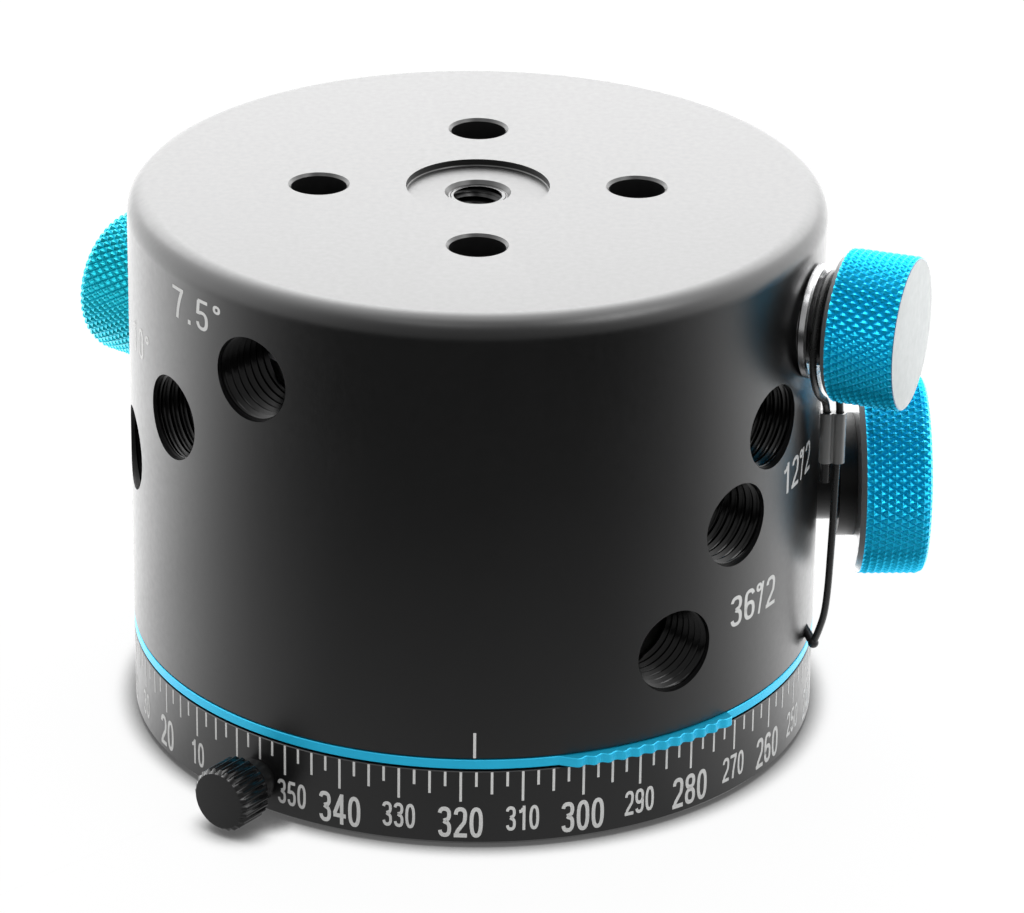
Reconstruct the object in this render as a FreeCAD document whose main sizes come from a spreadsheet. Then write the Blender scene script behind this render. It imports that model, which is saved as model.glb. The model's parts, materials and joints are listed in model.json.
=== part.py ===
import FreeCAD, Part
import math
import os
import re
import Sketcher

# Panoramic tripod head: an indexing rotator on a detent drum, in millimetres.
# The origin is the centre of the bottom face on the pan axis. The front is -Y.
# An azimuth is an angle about +Z from the front, positive towards +X.
# Radial pieces are drawn along their own +Z, and zero there is the pan axis.

SIZES = [
    # Overall body and its rim
    ("body_dia", 75.0),
    ("body_height", 60.0),
    ("rim_round", 2.5),
    # Clearances: radial running fit, fixed fit, and axial gap under the rotor
    ("run_fit", 0.05),
    ("seat_fit", 0.05),
    ("axial_gap", 0.10),
    # Base plate with its flange, hub and neck
    ("flange_dia", 66.0),
    ("flange_thick", 1.5),
    ("flange_bevel", 0.5),
    ("hub_dia", 60.0),
    ("hub_top", 10.2),
    ("drum_seat_dia", 40.0),
    # Steel insert for the tripod's 3/8 inch screw
    ("tripod_thread_dia", 9.525),
    ("insert_dia", 13.0),
    ("insert_length", 12.0),
    # Dial ring, its glide ring and the coloured thumb ring on top of it
    ("glide_thick", 0.5),
    ("dial_lift", 0.3),
    ("dial_height", 8.7),
    ("dial_bevel", 0.4),
    ("ring_groove", 0.28),
    ("ring_groove_depth", 2.0),
    ("ring_thick", 1.07),
    ("ring_collar_dia", 69.0),
    ("thumb_reach", 1.05),
    ("thumb_start", 13.5),
    ("thumb_sweep", 33.0),
    ("thumb_count", 9),
    ("thumb_flute_dia", 2.6),
    ("thumb_flute_depth", 0.32),
    # Bottom cover of the rotor and its screws
    ("cover_thick", 2.5),
    ("cover_dia", 68.8),
    ("cover_screw_dia", 2.5),
    ("cover_screw_head", 4.6),
    ("cover_screw_length", 7.0),
    ("cover_screw_pitch", 63.8),
    ("cover_screw_count", 6),
    ("cover_screw_azimuth", 48.0),
    # Bronze thrust washers above and below the drum's floor
    ("washer_thick", 1.5),
    ("washer_play", 0.03),
    ("lower_washer_inner", 43.0),
    ("lower_washer_outer", 57.0),
    ("upper_washer_inner", 25.0),
    ("upper_washer_outer", 41.0),
    # Detent drum and its rows of V-shaped notches
    ("drum_dia", 58.0),
    ("drum_wall", 6.0),
    ("drum_floor", 15.5),
    ("drum_top_gap", 1.0),
    ("drum_bevel", 0.5),
    ("notch_width", 3.2),
    ("notch_length", 3.8),
    ("row_low_step", 12.1),
    ("row_low_count", 10),
    ("row_middle_step", 9.1),
    ("row_middle_count", 30),
    ("row_upper_step", 8.7),
    ("row_upper_count", 36),
    ("row_top_drop", 2.5),
    ("row_top_count", 48),
    # Screws that hold the drum on the base plate
    ("drum_screw_dia", 4.0),
    ("drum_screw_head", 7.5),
    ("drum_screw_length", 23.0),
    ("drum_screw_sunk", 0.3),
    ("drum_screw_pitch", 27.0),
    ("drum_screw_count", 6),
    # Pivot pin of the rotor in the drum's bushing
    ("pivot_dia", 10.0),
    ("pivot_length", 28.0),
    ("bushing_wall", 1.4),
    # Rotor housing
    ("bore_dia", 59.6),
    ("roof_thick", 6.6),
    ("boss_dia", 42.0),
    ("side_thread_dia", 10.0),
    ("recess_dia", 15.4),
    ("recess_depth", 0.75),
    ("camera_thread_dia", 6.35),
    ("camera_thread_depth", 11.5),
    ("plate_thread_dia", 6.0),
    ("plate_thread_depth", 9.0),
    ("plate_pitch", 34.0),
    ("mouth_bevel", 0.3),
    # Indexing plunger
    ("plunger_azimuth", 70.9),
    ("plunger_travel", 3.0),
    ("nose_dia", 5.0),
    ("nose_tip_dia", 0.5),
    ("nose_gap", 0.07),
    ("shoulder_dia", 6.8),
    ("shoulder_thick", 0.6),
    ("stem_dia", 4.0),
    ("barrel_chamber_dia", 7.2),
    ("barrel_guide", 1.2),
    ("nut_dia", 12.3),
    ("nut_thick", 1.0),
    ("nut_bevel", 0.2),
    ("barrel_proud", 1.0),
    ("neck_dia", 9.2),
    ("neck_reach", 2.85),
    ("cap_wall", 0.75),
    ("spring_dia", 5.8),
    ("spring_wire", 0.5),
    ("spring_turns", 4.5),
    ("pull_knob_dia", 16.5),
    ("pull_knob_face_dia", 15.9),
    ("pull_knob_inner_bevel", 0.7),
    ("pull_knob_gap", 3.0),
    ("pull_knob_length", 7.9),
    # Lock screw (lower right) and drag screw (left), with their brass pads
    ("lock_azimuth", 92.0),
    ("lock_z", 25.9),
    ("lock_hub_dia", 13.5),
    ("lock_knob_dia", 22.0),
    ("lock_knob_gap", 3.95),
    ("lock_knob_length", 7.75),
    ("lock_knob_round", 1.2),
    ("drag_azimuth", -128.0),
    ("drag_z", 36.0),
    ("drag_hub_dia", 11.0),
    ("drag_knob_dia", 16.5),
    ("drag_knob_gap", 5.1),
    ("drag_knob_length", 8.3),
    ("drag_knob_round", 0.5),
    ("knob_inner_bevel", 0.6),
    ("brake_hub_gap", 2.0),
    ("brake_spigot_dia", 8.0),
    ("brake_spigot_length", 4.5),
    ("lock_pad_dia", 7.2),
    ("drag_pad_dia", 5.2),
    ("pad_thick", 1.45),
    ("pad_gap", 0.06),
    ("pad_stem_dia", 3.0),
    ("pad_stem_length", 2.4),
    # Clamp screw of the dial ring
    ("dial_screw_azimuth", -36.8),
    ("dial_screw_z", 4.2),
    ("dial_screw_dia", 4.0),
    ("dial_screw_collar_dia", 4.9),
    ("dial_screw_collar_gap", 0.8),
    ("dial_knob_dia", 7.1),
    ("dial_knob_gap", 2.5),
    ("dial_knob_length", 4.45),
    ("dial_knob_bevel", 0.45),
    ("dial_knob_spigot_dia", 2.7),
    ("dial_pad_dia", 3.0),
    ("dial_pad_length", 1.6),
    # Lanyard of the plunger: coated wire, crimped sleeve and wall anchor
    ("wire_dia", 0.8),
    ("wire_fit", 0.07),
    ("loop_offset", 0.75),
    ("sleeve_thick", 1.46),
    ("sleeve_web", 0.9),
    ("sleeve_length", 5.8),
    ("sleeve_top_z", 39.2),
    ("tail_cap_dia", 1.15),
    ("tail_cap_length", 2.3),
    ("anchor_azimuth", 73.4),
    ("anchor_proud", 1.1),
    ("anchor_z", 11.3),
    ("anchor_heading", 210.0),
    ("anchor_tilt", 61.0),
    ("anchor_dia", 1.0),
    ("anchor_bead_dia", 1.2),
    ("anchor_length", 4.0),
]

# Places that follow from the sizes above
DERIVED = {
    "body_r": "body_dia / 2",
    "dial_step": "flange_thick + glide_thick",
    "dial_top": "dial_lift + dial_height",
    "ring_bottom": "dial_top + ring_groove",
    "ring_top": "ring_bottom + ring_thick",
    "rotor_bottom": "ring_top + axial_gap",
    "cover_top": "rotor_bottom + cover_thick",
    "washer_space": "washer_thick + 2 * washer_play",
    "drum_bottom": "cover_top + washer_space",
    "floor_top": "drum_bottom + drum_floor",
    "boss_bottom": "floor_top + washer_space",
    "ceiling": "body_height - roof_thick",
    "drum_top": "ceiling - drum_top_gap",
    "row_top_z": "drum_top - row_top_drop",
    "row_upper_z": "row_top_z - row_upper_step",
    "row_middle_z": "row_upper_z - row_middle_step",
    "row_low_z": "row_middle_z - row_low_step",
    "drum_r": "drum_dia / 2",
    "bore_r": "bore_dia / 2",
    "side_r": "side_thread_dia / 2",
    "screw_r": "side_r - seat_fit",
    "pivot_start": "drum_bottom + 1.0",
    "pivot_end": "pivot_start + pivot_length",
    "notch_depth": "notch_width / 2",
    "notch_side": "(notch_depth + 0.6) * sqrt(2)",
    "nose_start": "drum_r - notch_depth + nose_gap + nose_tip_dia / 2",
    "nose_shoulder": "nose_start + (nose_dia - nose_tip_dia) / 2",
    "barrel_start": "bore_r + 0.4",
    "chamber_start": "barrel_start + barrel_guide",
    "shoulder_end": "chamber_start + run_fit + shoulder_thick",
    "barrel_end": "body_r + barrel_proud",
    "neck_end": "body_r + neck_reach",
    "pull_knob_start": "body_r + pull_knob_gap",
    "pull_knob_end": "pull_knob_start + pull_knob_length",
    "plug_start": "barrel_end - 1.8",
    "spring_end": "neck_end - cap_wall",
    "pad_start": "drum_r + pad_gap",
    "brake_start": "pad_start + pad_thick + 0.1",
    "socket_end": "brake_start + pad_stem_length + 0.1",
    "brake_hub_start": "body_r + brake_hub_gap",
    "lock_knob_start": "body_r + lock_knob_gap",
    "lock_knob_end": "lock_knob_start + lock_knob_length",
    "drag_knob_start": "body_r + drag_knob_gap",
    "drag_knob_end": "drag_knob_start + drag_knob_length",
    "dial_screw_collar_start": "body_r + dial_screw_collar_gap",
    "dial_knob_start": "body_r + dial_knob_gap",
    "dial_knob_end": "dial_knob_start + dial_knob_length",
    "anchor_reach": "body_r + anchor_proud",
    "dial_pad_start": "hub_dia / 2 + pad_gap",
    "dial_screw_start": "dial_pad_start + dial_pad_length + 0.05",
    "dial_core_r": "hub_dia / 2 + run_fit",
}

# Side holes: azimuth and the row of notches that each one faces
SIDE_HOLES = [
    (34.4, "row_low_z"),
    (47.3, "row_middle_z"),
    (56.8, "row_upper_z"),
    (-38.3, "row_top_z"),
    (-58.4, "row_upper_z"),
    (-79.0, "row_middle_z"),
    (-99.6, "row_low_z"),
    (122.0, "row_top_z"),
    (142.0, "row_upper_z"),
    (162.0, "row_middle_z"),
    (182.0, "row_low_z"),
]

doc = FreeCAD.newDocument("panoramic_head")
sheet = doc.addObject("Spreadsheet::Sheet", "Dims")
for row, (alias, size) in enumerate(SIZES, 1):
    sheet.set(f"A{row}", alias)
    sheet.set(f"B{row}", str(size))
    sheet.setAlias(f"B{row}", alias)
doc.recompute()
ALIASES = {alias for alias, size in SIZES}
sub_parts = []


def bind(text):
    """Turn plain names of sizes and places into references to the sheet."""
    def swap(match):
        word = match.group(0)
        if word in DERIVED:
            return "(" + bind(DERIVED[word]) + ")"
        return "Dims." + word if word in ALIASES else word
    return re.sub(r"[a-z_]+[a-z0-9_]*", swap, str(text))


def num(text):
    """The present value of an expression in plain names."""
    return float(sheet.evalExpression(bind(text)))


def radial(azimuth, z, reach="0"):
    """Placement whose +Z points outward at an azimuth, reach away from the pan axis."""
    spot = f"vector(({reach}) * sin({azimuth}); -({reach}) * cos({azimuth}); {z})"
    turn = f"rotation(vector(0; 0; 1); {azimuth}) * rotation(vector(1; 0; 0); 90)"
    return bind(f"placement({spot}; {turn})")


def upright(x, y, z):
    """Placement that keeps the axes and moves the origin."""
    return bind(f"placement(vector({x}; {y}; {z}); rotation(vector(0; 0; 1); 0))")


def anchor_place():
    """Placement at the lanyard's bead, with +Z along its pin into the wall."""
    spot = "vector(anchor_reach * sin(anchor_azimuth);"
    spot += " -anchor_reach * cos(anchor_azimuth); anchor_z)"
    turn = "rotation(vector(0; 0; 1); anchor_heading) * rotation(vector(1; 0; 0); anchor_tilt)"
    return bind(f"placement({spot}; {turn})")


def origin_item(body, role):
    return [item for item in body.Origin.OriginFeatures if item.Role == role][0]


def new_body(label, azimuth=None, z="0"):
    body = doc.addObject("PartDesign::Body", label)
    body.Label = label
    if azimuth is not None:
        body.setExpression("Placement", radial(azimuth, z))
    sub_parts.append(body)
    return body


def outline(body, name, points, turn=None, axis_at=None):
    """Closed sketch through points (radius, height) on the body's XZ plane."""
    sketch = body.newObject("Sketcher::SketchObject", name)
    sketch.AttachmentSupport = (origin_item(body, "XZ_Plane"), [""])
    sketch.MapMode = "FlatFace"
    if turn is not None:
        spin = FreeCAD.Rotation(FreeCAD.Vector(0, 1, 0), turn)
        sketch.AttachmentOffset = FreeCAD.Placement(FreeCAD.Vector(), spin)
    corners = [FreeCAD.Vector(num(x), num(y), 0) for x, y in points]
    count = len(corners)
    for i, corner in enumerate(corners):
        sketch.addGeometry(Part.LineSegment(corner, corners[(i + 1) % count]), False)
    for i in range(count):
        sketch.addConstraint(Sketcher.Constraint("Coincident", i, 2, (i + 1) % count, 1))
    for i, (x, y) in enumerate(points):
        for kind, axis, text, here in (("DistanceX", -2, x, corners[i].x),
                                       ("DistanceY", -1, y, corners[i].y)):
            if abs(here) < 1e-9:
                sketch.addConstraint(Sketcher.Constraint("PointOnObject", i, 1, axis))
            else:
                index = sketch.addConstraint(Sketcher.Constraint(kind, -1, 1, i, 1, here))
                sketch.setExpression(f"Constraints[{index}]", bind(text))
    if axis_at is not None:
        low = FreeCAD.Vector(num(axis_at), 0, 0)
        high = FreeCAD.Vector(num(axis_at), 10, 0)
        line = sketch.addGeometry(Part.LineSegment(low, high), True)
        sketch.addConstraint(Sketcher.Constraint("Vertical", line))
        sketch.addConstraint(Sketcher.Constraint("PointOnObject", line, 1, -1))
        index = sketch.addConstraint(Sketcher.Constraint("DistanceX", -1, 1, line, 1, low.x))
        sketch.setExpression(f"Constraints[{index}]", bind(axis_at))
    return sketch


def revolve(body, name, points, sweep="360", turn=None, axis_at=None):
    """Turn a profile about the body's Z axis, or about a line beside it."""
    sketch = outline(body, name + "_profile", points, turn, axis_at)
    feature = body.newObject("PartDesign::Revolution", name)
    feature.Profile = sketch
    feature.ReferenceAxis = (sketch, ["V_Axis" if axis_at is None else "Axis0"])
    feature.setExpression("Angle", bind(sweep))
    return feature


def turned(label, points, azimuth=None, z="0"):
    """A turned piece as a body of its own."""
    body = new_body(label, azimuth, z)
    revolve(body, label + "_turned", points)
    return body


def primitive(body, kind, name, place, **sizes):
    """Additive or subtractive primitive with bound sizes and placement."""
    feature = body.newObject("PartDesign::" + kind, name)
    for key, text in sizes.items():
        feature.setExpression(key, bind(text))
    feature.setExpression("Placement", place)
    return feature


def polar(body, name, originals, count):
    """Repeat features round the body's Z axis over a full turn."""
    doc.recompute()
    feature = body.newObject("PartDesign::PolarPattern", name)
    feature.Originals = originals
    feature.Axis = (origin_item(body, "Z_Axis"), [""])
    feature.Angle = 360
    feature.setExpression("Occurrences", bind(count))
    body.Tip = feature
    return feature


def round_rim(body, name, radius, ring_r, ring_z):
    """Fillet the circular edge of a given radius and height on the body's axis."""
    doc.recompute()
    base = body.Tip
    wanted = []
    for index, edge in enumerate(base.Shape.Edges, 1):
        curve = edge.Curve
        if not isinstance(curve, Part.Circle):
            continue
        middle = curve.Center
        offset = math.hypot(middle.x, middle.y)
        offset += abs(curve.Radius - num(ring_r)) + abs(middle.z - num(ring_z))
        if offset < 1e-3:
            wanted.append(f"Edge{index}")
    feature = body.newObject("PartDesign::Fillet", name)
    feature.Base = (base, wanted)
    feature.setExpression("Radius", bind(radius))
    body.Tip = feature
    return feature


def ring(label, inner_r, outer_r, low, high):
    """Plain ring between two radii and two heights."""
    return turned(label, [(inner_r, low), (outer_r, low), (outer_r, high), (inner_r, high)])


def base_plate():
    body = turned("base_plate", [
        ("insert_dia / 2", "0"),
        ("flange_dia / 2 - flange_bevel", "0"),
        ("flange_dia / 2", "flange_bevel"),
        ("flange_dia / 2", "flange_thick"),
        ("hub_dia / 2", "flange_thick"),
        ("hub_dia / 2", "hub_top"),
        ("drum_seat_dia / 2", "hub_top"),
        ("drum_seat_dia / 2", "drum_bottom"),
        ("0", "drum_bottom"),
        ("0", "insert_length"),
        ("insert_dia / 2", "insert_length"),
    ])
    pitch_r = "drum_screw_pitch / 2"
    shank = primitive(body, "SubtractiveCylinder", "screw_hole", upright(pitch_r, "0", "-1"),
                      Radius="drum_screw_dia / 2 + 0.1", Height="drum_bottom + 2")
    sink = primitive(body, "SubtractiveCone", "screw_sink", upright(pitch_r, "0", "0"),
                     Radius1="drum_screw_head / 2 + drum_screw_sunk + 0.1", Radius2="0",
                     Height="drum_screw_head / 2 + drum_screw_sunk + 0.1")
    polar(body, "screw_holes", [shank, sink], "drum_screw_count")


def tripod_insert():
    thread_r = "tripod_thread_dia / 2"
    turned("tripod_insert", [
        (thread_r, "0"),
        ("insert_dia / 2 - seat_fit", "0"),
        ("insert_dia / 2 - seat_fit", "insert_length - seat_fit"),
        (thread_r, "insert_length - seat_fit"),
    ])


def spun(azimuth, z="0"):
    """Placement that turns a body's +X to an azimuth."""
    return bind(f"placement(vector(0; 0; {z}); rotation(vector(0; 0; 1); {azimuth} - 90))")


def screw_group(label, dia, head, length, sunk_z, pitch, count, azimuth):
    """Countersunk hexagon socket screws on a pitch circle, heads down."""
    body = new_body(label)
    body.setExpression("Placement", spun(azimuth, sunk_z))
    shank_r = f"({dia} / 2 - seat_fit)"
    axis = f"{pitch} / 2"
    screw = revolve(body, label + "_turned", [
        (axis, "0"),
        (f"{axis} + {head} / 2", "0"),
        (f"{axis} + {shank_r}", f"{head} / 2 - {shank_r}"),
        (f"{axis} + {shank_r}", length),
        (axis, length),
    ], axis_at=axis)
    doc.recompute()
    socket = primitive(body, "SubtractivePrism", label + "_socket", upright(axis, "0", "0"),
                       Circumradius=f"{head} * 0.2", Height=f"{head} * 0.24")
    polar(body, label + "_all", [screw, socket], count)


def dial_ring():
    body = turned("dial_ring", [
        ("flange_dia / 2 + run_fit", "dial_lift"),
        ("body_r - dial_bevel", "dial_lift"),
        ("body_r", "dial_lift + dial_bevel"),
        ("body_r", "dial_top"),
        ("body_r - ring_groove_depth", "dial_top"),
        ("body_r - ring_groove_depth", "ring_bottom"),
        ("ring_collar_dia / 2", "ring_bottom"),
        ("ring_collar_dia / 2", "ring_top - axial_gap"),
        ("dial_core_r", "ring_top - axial_gap"),
        ("dial_core_r", "dial_step + run_fit"),
        ("flange_dia / 2 + run_fit", "dial_step + run_fit"),
    ])
    primitive(body, "SubtractiveCylinder", "clamp_hole",
              radial("dial_screw_azimuth", "dial_screw_z", "hub_dia / 2 - 1"),
              Radius="dial_screw_dia / 2", Height="body_r - hub_dia / 2 + 3")


def thumb_ring():
    body = new_body("thumb_ring")
    inner_r = "ring_collar_dia / 2 + seat_fit"
    revolve(body, "thumb_band", [
        (inner_r, "ring_bottom"),
        ("body_r", "ring_bottom"),
        ("body_r", "ring_top"),
        (inner_r, "ring_top"),
    ])
    mid_r = "body_r - 1"
    reach_r = "body_r + thumb_reach"
    revolve(body, "thumb_grip", [
        (mid_r, "ring_bottom"),
        (reach_r, "ring_bottom"),
        (reach_r, "ring_top"),
        (mid_r, "ring_top"),
    ], "thumb_sweep", num("thumb_start") - 90.0)
    doc.recompute()
    count = int(num("thumb_count"))
    for i in range(count):
        azimuth = f"(thumb_start + thumb_sweep * {(i + 0.5) / count})"
        centre_r = f"({reach_r} - thumb_flute_depth + thumb_flute_dia / 2)"
        primitive(body, "SubtractiveCylinder", f"thumb_flute_{i + 1}",
                  upright(f"{centre_r} * sin({azimuth})", f"-{centre_r} * cos({azimuth})",
                          "ring_bottom - 1"),
                  Radius="thumb_flute_dia / 2", Height="ring_thick + 2")


def notch_place(z):
    """Placement of a box that stands on its edge, so that it cuts a right-angled notch."""
    root = "(drum_r - notch_depth)"
    azimuth = "plunger_azimuth"
    spot = f"vector({root} * sin({azimuth}); -{root} * cos({azimuth}); {z} - notch_length / 2)"
    return bind(f"placement({spot}; rotation(vector(0; 0; 1); {azimuth} - 135))")


def detent_drum():
    bushing_r = "pivot_dia / 2 + run_fit + bushing_wall"
    body = turned("detent_drum", [
        (bushing_r, "drum_bottom"),
        ("drum_r - drum_bevel", "drum_bottom"),
        ("drum_r", "drum_bottom + drum_bevel"),
        ("drum_r", "drum_top - drum_bevel"),
        ("drum_r - drum_bevel", "drum_top"),
        ("drum_r - drum_wall", "drum_top"),
        ("drum_r - drum_wall", "floor_top"),
        (bushing_r, "floor_top"),
    ])
    tap = primitive(body, "SubtractiveCylinder", "tapped_hole",
                    upright("drum_screw_pitch / 2", "0", "drum_bottom - 1"),
                    Radius="drum_screw_dia / 2", Height="drum_screw_length - drum_bottom + 3")
    polar(body, "tapped_holes", [tap], "drum_screw_count")
    for row in ("low", "middle", "upper", "top"):
        notch = primitive(body, "SubtractiveBox", f"notch_{row}", notch_place(f"row_{row}_z"),
                          Length="notch_side", Width="notch_side", Height="notch_length")
        polar(body, f"notches_{row}", [notch], f"row_{row}_count")


def thrust_washer(name, seat):
    """Plain washer that fills the space above a seat but for its running play."""
    ring(f"{name}_thrust_washer", f"{name}_washer_inner / 2", f"{name}_washer_outer / 2",
         f"{seat} + washer_play", f"{seat} + washer_play + washer_thick")


def pivot():
    turned("pivot_bushing", [
        ("pivot_dia / 2 + run_fit", "drum_bottom + 0.1"),
        ("pivot_dia / 2 + bushing_wall", "drum_bottom + 0.1"),
        ("pivot_dia / 2 + bushing_wall", "floor_top - 0.1"),
        ("pivot_dia / 2 + run_fit", "floor_top - 0.1"),
    ])
    turned("pivot_pin", [
        ("0", "pivot_start"),
        ("pivot_dia / 2 - 0.5", "pivot_start"),
        ("pivot_dia / 2", "pivot_start + 0.5"),
        ("pivot_dia / 2", "pivot_end"),
        ("0", "pivot_end"),
    ])


def bottom_cover():
    body = ring("bottom_cover", "drum_seat_dia / 2 + run_fit", "cover_dia / 2", "rotor_bottom",
                "cover_top")
    body.setExpression("Placement", spun("cover_screw_azimuth"))
    pitch_r = "cover_screw_pitch / 2"
    hole = primitive(body, "SubtractiveCylinder", "cover_hole",
                     upright(pitch_r, "0", "rotor_bottom - 1"),
                     Radius="cover_screw_dia / 2 + 0.1", Height="cover_thick + 2")
    depth = "cover_screw_head / 2 + 0.1"
    sink = primitive(body, "SubtractiveCone", "cover_sink", upright(pitch_r, "0", "rotor_bottom"),
                     Radius1=depth, Radius2="0", Height=depth)
    polar(body, "cover_holes", [hole, sink], "cover_screw_count")


def side_hole(body, name, azimuth, z):
    """Threaded hole through the housing wall, at its major diameter."""
    return primitive(body, "SubtractiveCylinder", name, radial(azimuth, z, "bore_r - 0.4"),
                     Radius="side_r", Height="body_r - bore_r + 2")


def housing():
    body = turned("housing", [
        ("cover_dia / 2 + seat_fit", "rotor_bottom"),
        ("body_r", "rotor_bottom"),
        ("body_r", "body_height"),
        ("0", "body_height"),
        ("0", "boss_bottom"),
        ("boss_dia / 2", "boss_bottom"),
        ("boss_dia / 2", "ceiling"),
        ("bore_r", "ceiling"),
        ("bore_r", "cover_top + 0.02"),
        ("cover_dia / 2 + seat_fit", "cover_top + 0.02"),
    ])
    round_rim(body, "rim_fillet", "rim_round", "body_r", "body_height")
    primitive(body, "SubtractiveCylinder", "pivot_bore", upright("0", "0", "boss_bottom - 1"),
              Radius="pivot_dia / 2 + seat_fit", Height="pivot_end + 1.2 - boss_bottom")
    primitive(body, "SubtractiveCylinder", "centre_recess",
              upright("0", "0", "body_height - recess_depth"),
              Radius="recess_dia / 2", Height="recess_depth + 1")
    floor = "(body_height - recess_depth)"
    primitive(body, "SubtractiveCylinder", "camera_thread",
              upright("0", "0", f"{floor} - camera_thread_depth"),
              Radius="camera_thread_dia / 2", Height="camera_thread_depth + 0.1")
    primitive(body, "SubtractiveCone", "camera_mouth", upright("0", "0", f"{floor} - mouth_bevel"),
              Radius1="camera_thread_dia / 2", Radius2="camera_thread_dia / 2 + 2 * mouth_bevel",
              Height="2 * mouth_bevel")
    pitch_r = "plate_pitch / 2"
    tap = primitive(body, "SubtractiveCylinder", "plate_thread",
                    upright(pitch_r, "0", "body_height - plate_thread_depth"),
                    Radius="plate_thread_dia / 2", Height="plate_thread_depth + 1")
    mouth = primitive(body, "SubtractiveCone", "plate_mouth",
                      upright(pitch_r, "0", "body_height - mouth_bevel"),
                      Radius1="plate_thread_dia / 2", Radius2="plate_thread_dia / 2 + 2 * mouth_bevel",
                      Height="2 * mouth_bevel")
    polar(body, "plate_threads", [tap, mouth], "4")
    for i, (azimuth, row_z) in enumerate(SIDE_HOLES, 1):
        side_hole(body, f"side_hole_{i}", azimuth, row_z)
    side_hole(body, "plunger_hole", "plunger_azimuth", "row_top_z")
    side_hole(body, "lock_hole", "lock_azimuth", "lock_z")
    side_hole(body, "drag_hole", "drag_azimuth", "drag_z")
    azimuth = "cover_screw_azimuth"
    pitch_r = "cover_screw_pitch / 2"
    tap = primitive(body, "SubtractiveCylinder", "cover_tap",
                    upright(f"{pitch_r} * sin({azimuth})", f"-{pitch_r} * cos({azimuth})",
                            "rotor_bottom"),
                    Radius="cover_screw_dia / 2", Height="cover_screw_length + 0.6")
    polar(body, "cover_taps", [tap], "cover_screw_count")
    primitive(body, "SubtractiveCylinder", "anchor_hole", anchor_place(),
              Radius="anchor_dia / 2 + seat_fit", Height="anchor_length + 0.1")


def plunger():
    place = ("plunger_azimuth", "row_top_z")
    turned("plunger_barrel", [
        ("nose_dia / 2 + run_fit", "barrel_start"),
        ("screw_r", "barrel_start"),
        ("screw_r", "barrel_end"),
        ("barrel_chamber_dia / 2", "barrel_end"),
        ("barrel_chamber_dia / 2", "chamber_start"),
        ("nose_dia / 2 + run_fit", "chamber_start"),
    ], *place)
    turned("plunger_nut", [
        ("screw_r + seat_fit", "body_r + 0.02"),
        ("nut_dia / 2 - nut_bevel", "body_r + 0.02"),
        ("nut_dia / 2", "body_r + 0.02 + nut_bevel"),
        ("nut_dia / 2", "body_r + nut_thick - nut_bevel"),
        ("nut_dia / 2 - nut_bevel", "body_r + nut_thick"),
        ("screw_r + seat_fit", "body_r + nut_thick"),
    ], *place)
    bore = "spring_dia / 2 + 0.15"
    turned("plunger_cap", [
        (bore, "plug_start"),
        ("barrel_chamber_dia / 2 - seat_fit", "plug_start"),
        ("barrel_chamber_dia / 2 - seat_fit", "barrel_end"),
        ("neck_dia / 2", "barrel_end"),
        ("neck_dia / 2", "neck_end"),
        ("stem_dia / 2 + run_fit", "neck_end"),
        ("stem_dia / 2 + run_fit", "spring_end"),
        (bore, "spring_end"),
    ], *place)
    turned("plunger_pin", [
        ("0", "nose_start"),
        ("nose_tip_dia / 2", "nose_start"),
        ("nose_dia / 2", "nose_shoulder"),
        ("nose_dia / 2", "chamber_start + run_fit"),
        ("shoulder_dia / 2", "chamber_start + run_fit"),
        ("shoulder_dia / 2", "shoulder_end"),
        ("stem_dia / 2", "shoulder_end"),
        ("stem_dia / 2", "pull_knob_start + 2.5"),
        ("0", "pull_knob_start + 2.5"),
    ], *place)
    face_bevel = "(pull_knob_dia - pull_knob_face_dia) / 2"
    turned("plunger_knob", [
        ("stem_dia / 2 + seat_fit", "pull_knob_start"),
        ("pull_knob_dia / 2 - pull_knob_inner_bevel", "pull_knob_start"),
        ("pull_knob_dia / 2", "pull_knob_start + pull_knob_inner_bevel"),
        ("pull_knob_dia / 2", f"pull_knob_end - {face_bevel}"),
        ("pull_knob_face_dia / 2", "pull_knob_end"),
        ("0", "pull_knob_end"),
        ("0", "pull_knob_start + 2.6"),
        ("stem_dia / 2 + seat_fit", "pull_knob_start + 2.6"),
    ], *place)


def plunger_spring():
    """Compression coil between the pin's shoulder and the cap."""
    wire_r = num("spring_wire / 2")
    coil_r = num("spring_dia / 2") - wire_r
    start = num("shoulder_end") + wire_r + 0.02
    end = num("spring_end") - wire_r - 0.02
    turns = num("spring_turns")
    pitch = (end - start) / turns

    def along(quarter):
        angle = math.radians(90 * quarter)
        return FreeCAD.Vector(coil_r * math.cos(angle), coil_r * math.sin(angle), pitch * quarter / 4)

    halves = []
    for quarter in range(0, round(4 * turns), 2):
        first = along(quarter)
        middle = along(quarter + 1)
        last = along(quarter + 2)
        axis = (last - first).cross(middle - first).normalize() * -1
        disc = Part.Face(Part.Wire([Part.makeCircle(wire_r, first, axis.cross(last - first))]))
        halves.append(disc.revolve((first + last) / 2, axis, 180))
    spring = halves[0].multiFuse(halves[1:]).removeSplitter()
    print("spring coil gap", round(pitch - 2 * wire_r, 2))
    part = shaped("plunger_spring", spring)
    part.setExpression("Placement", radial("plunger_azimuth", "row_top_z", f"{start:.3f}"))


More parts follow.
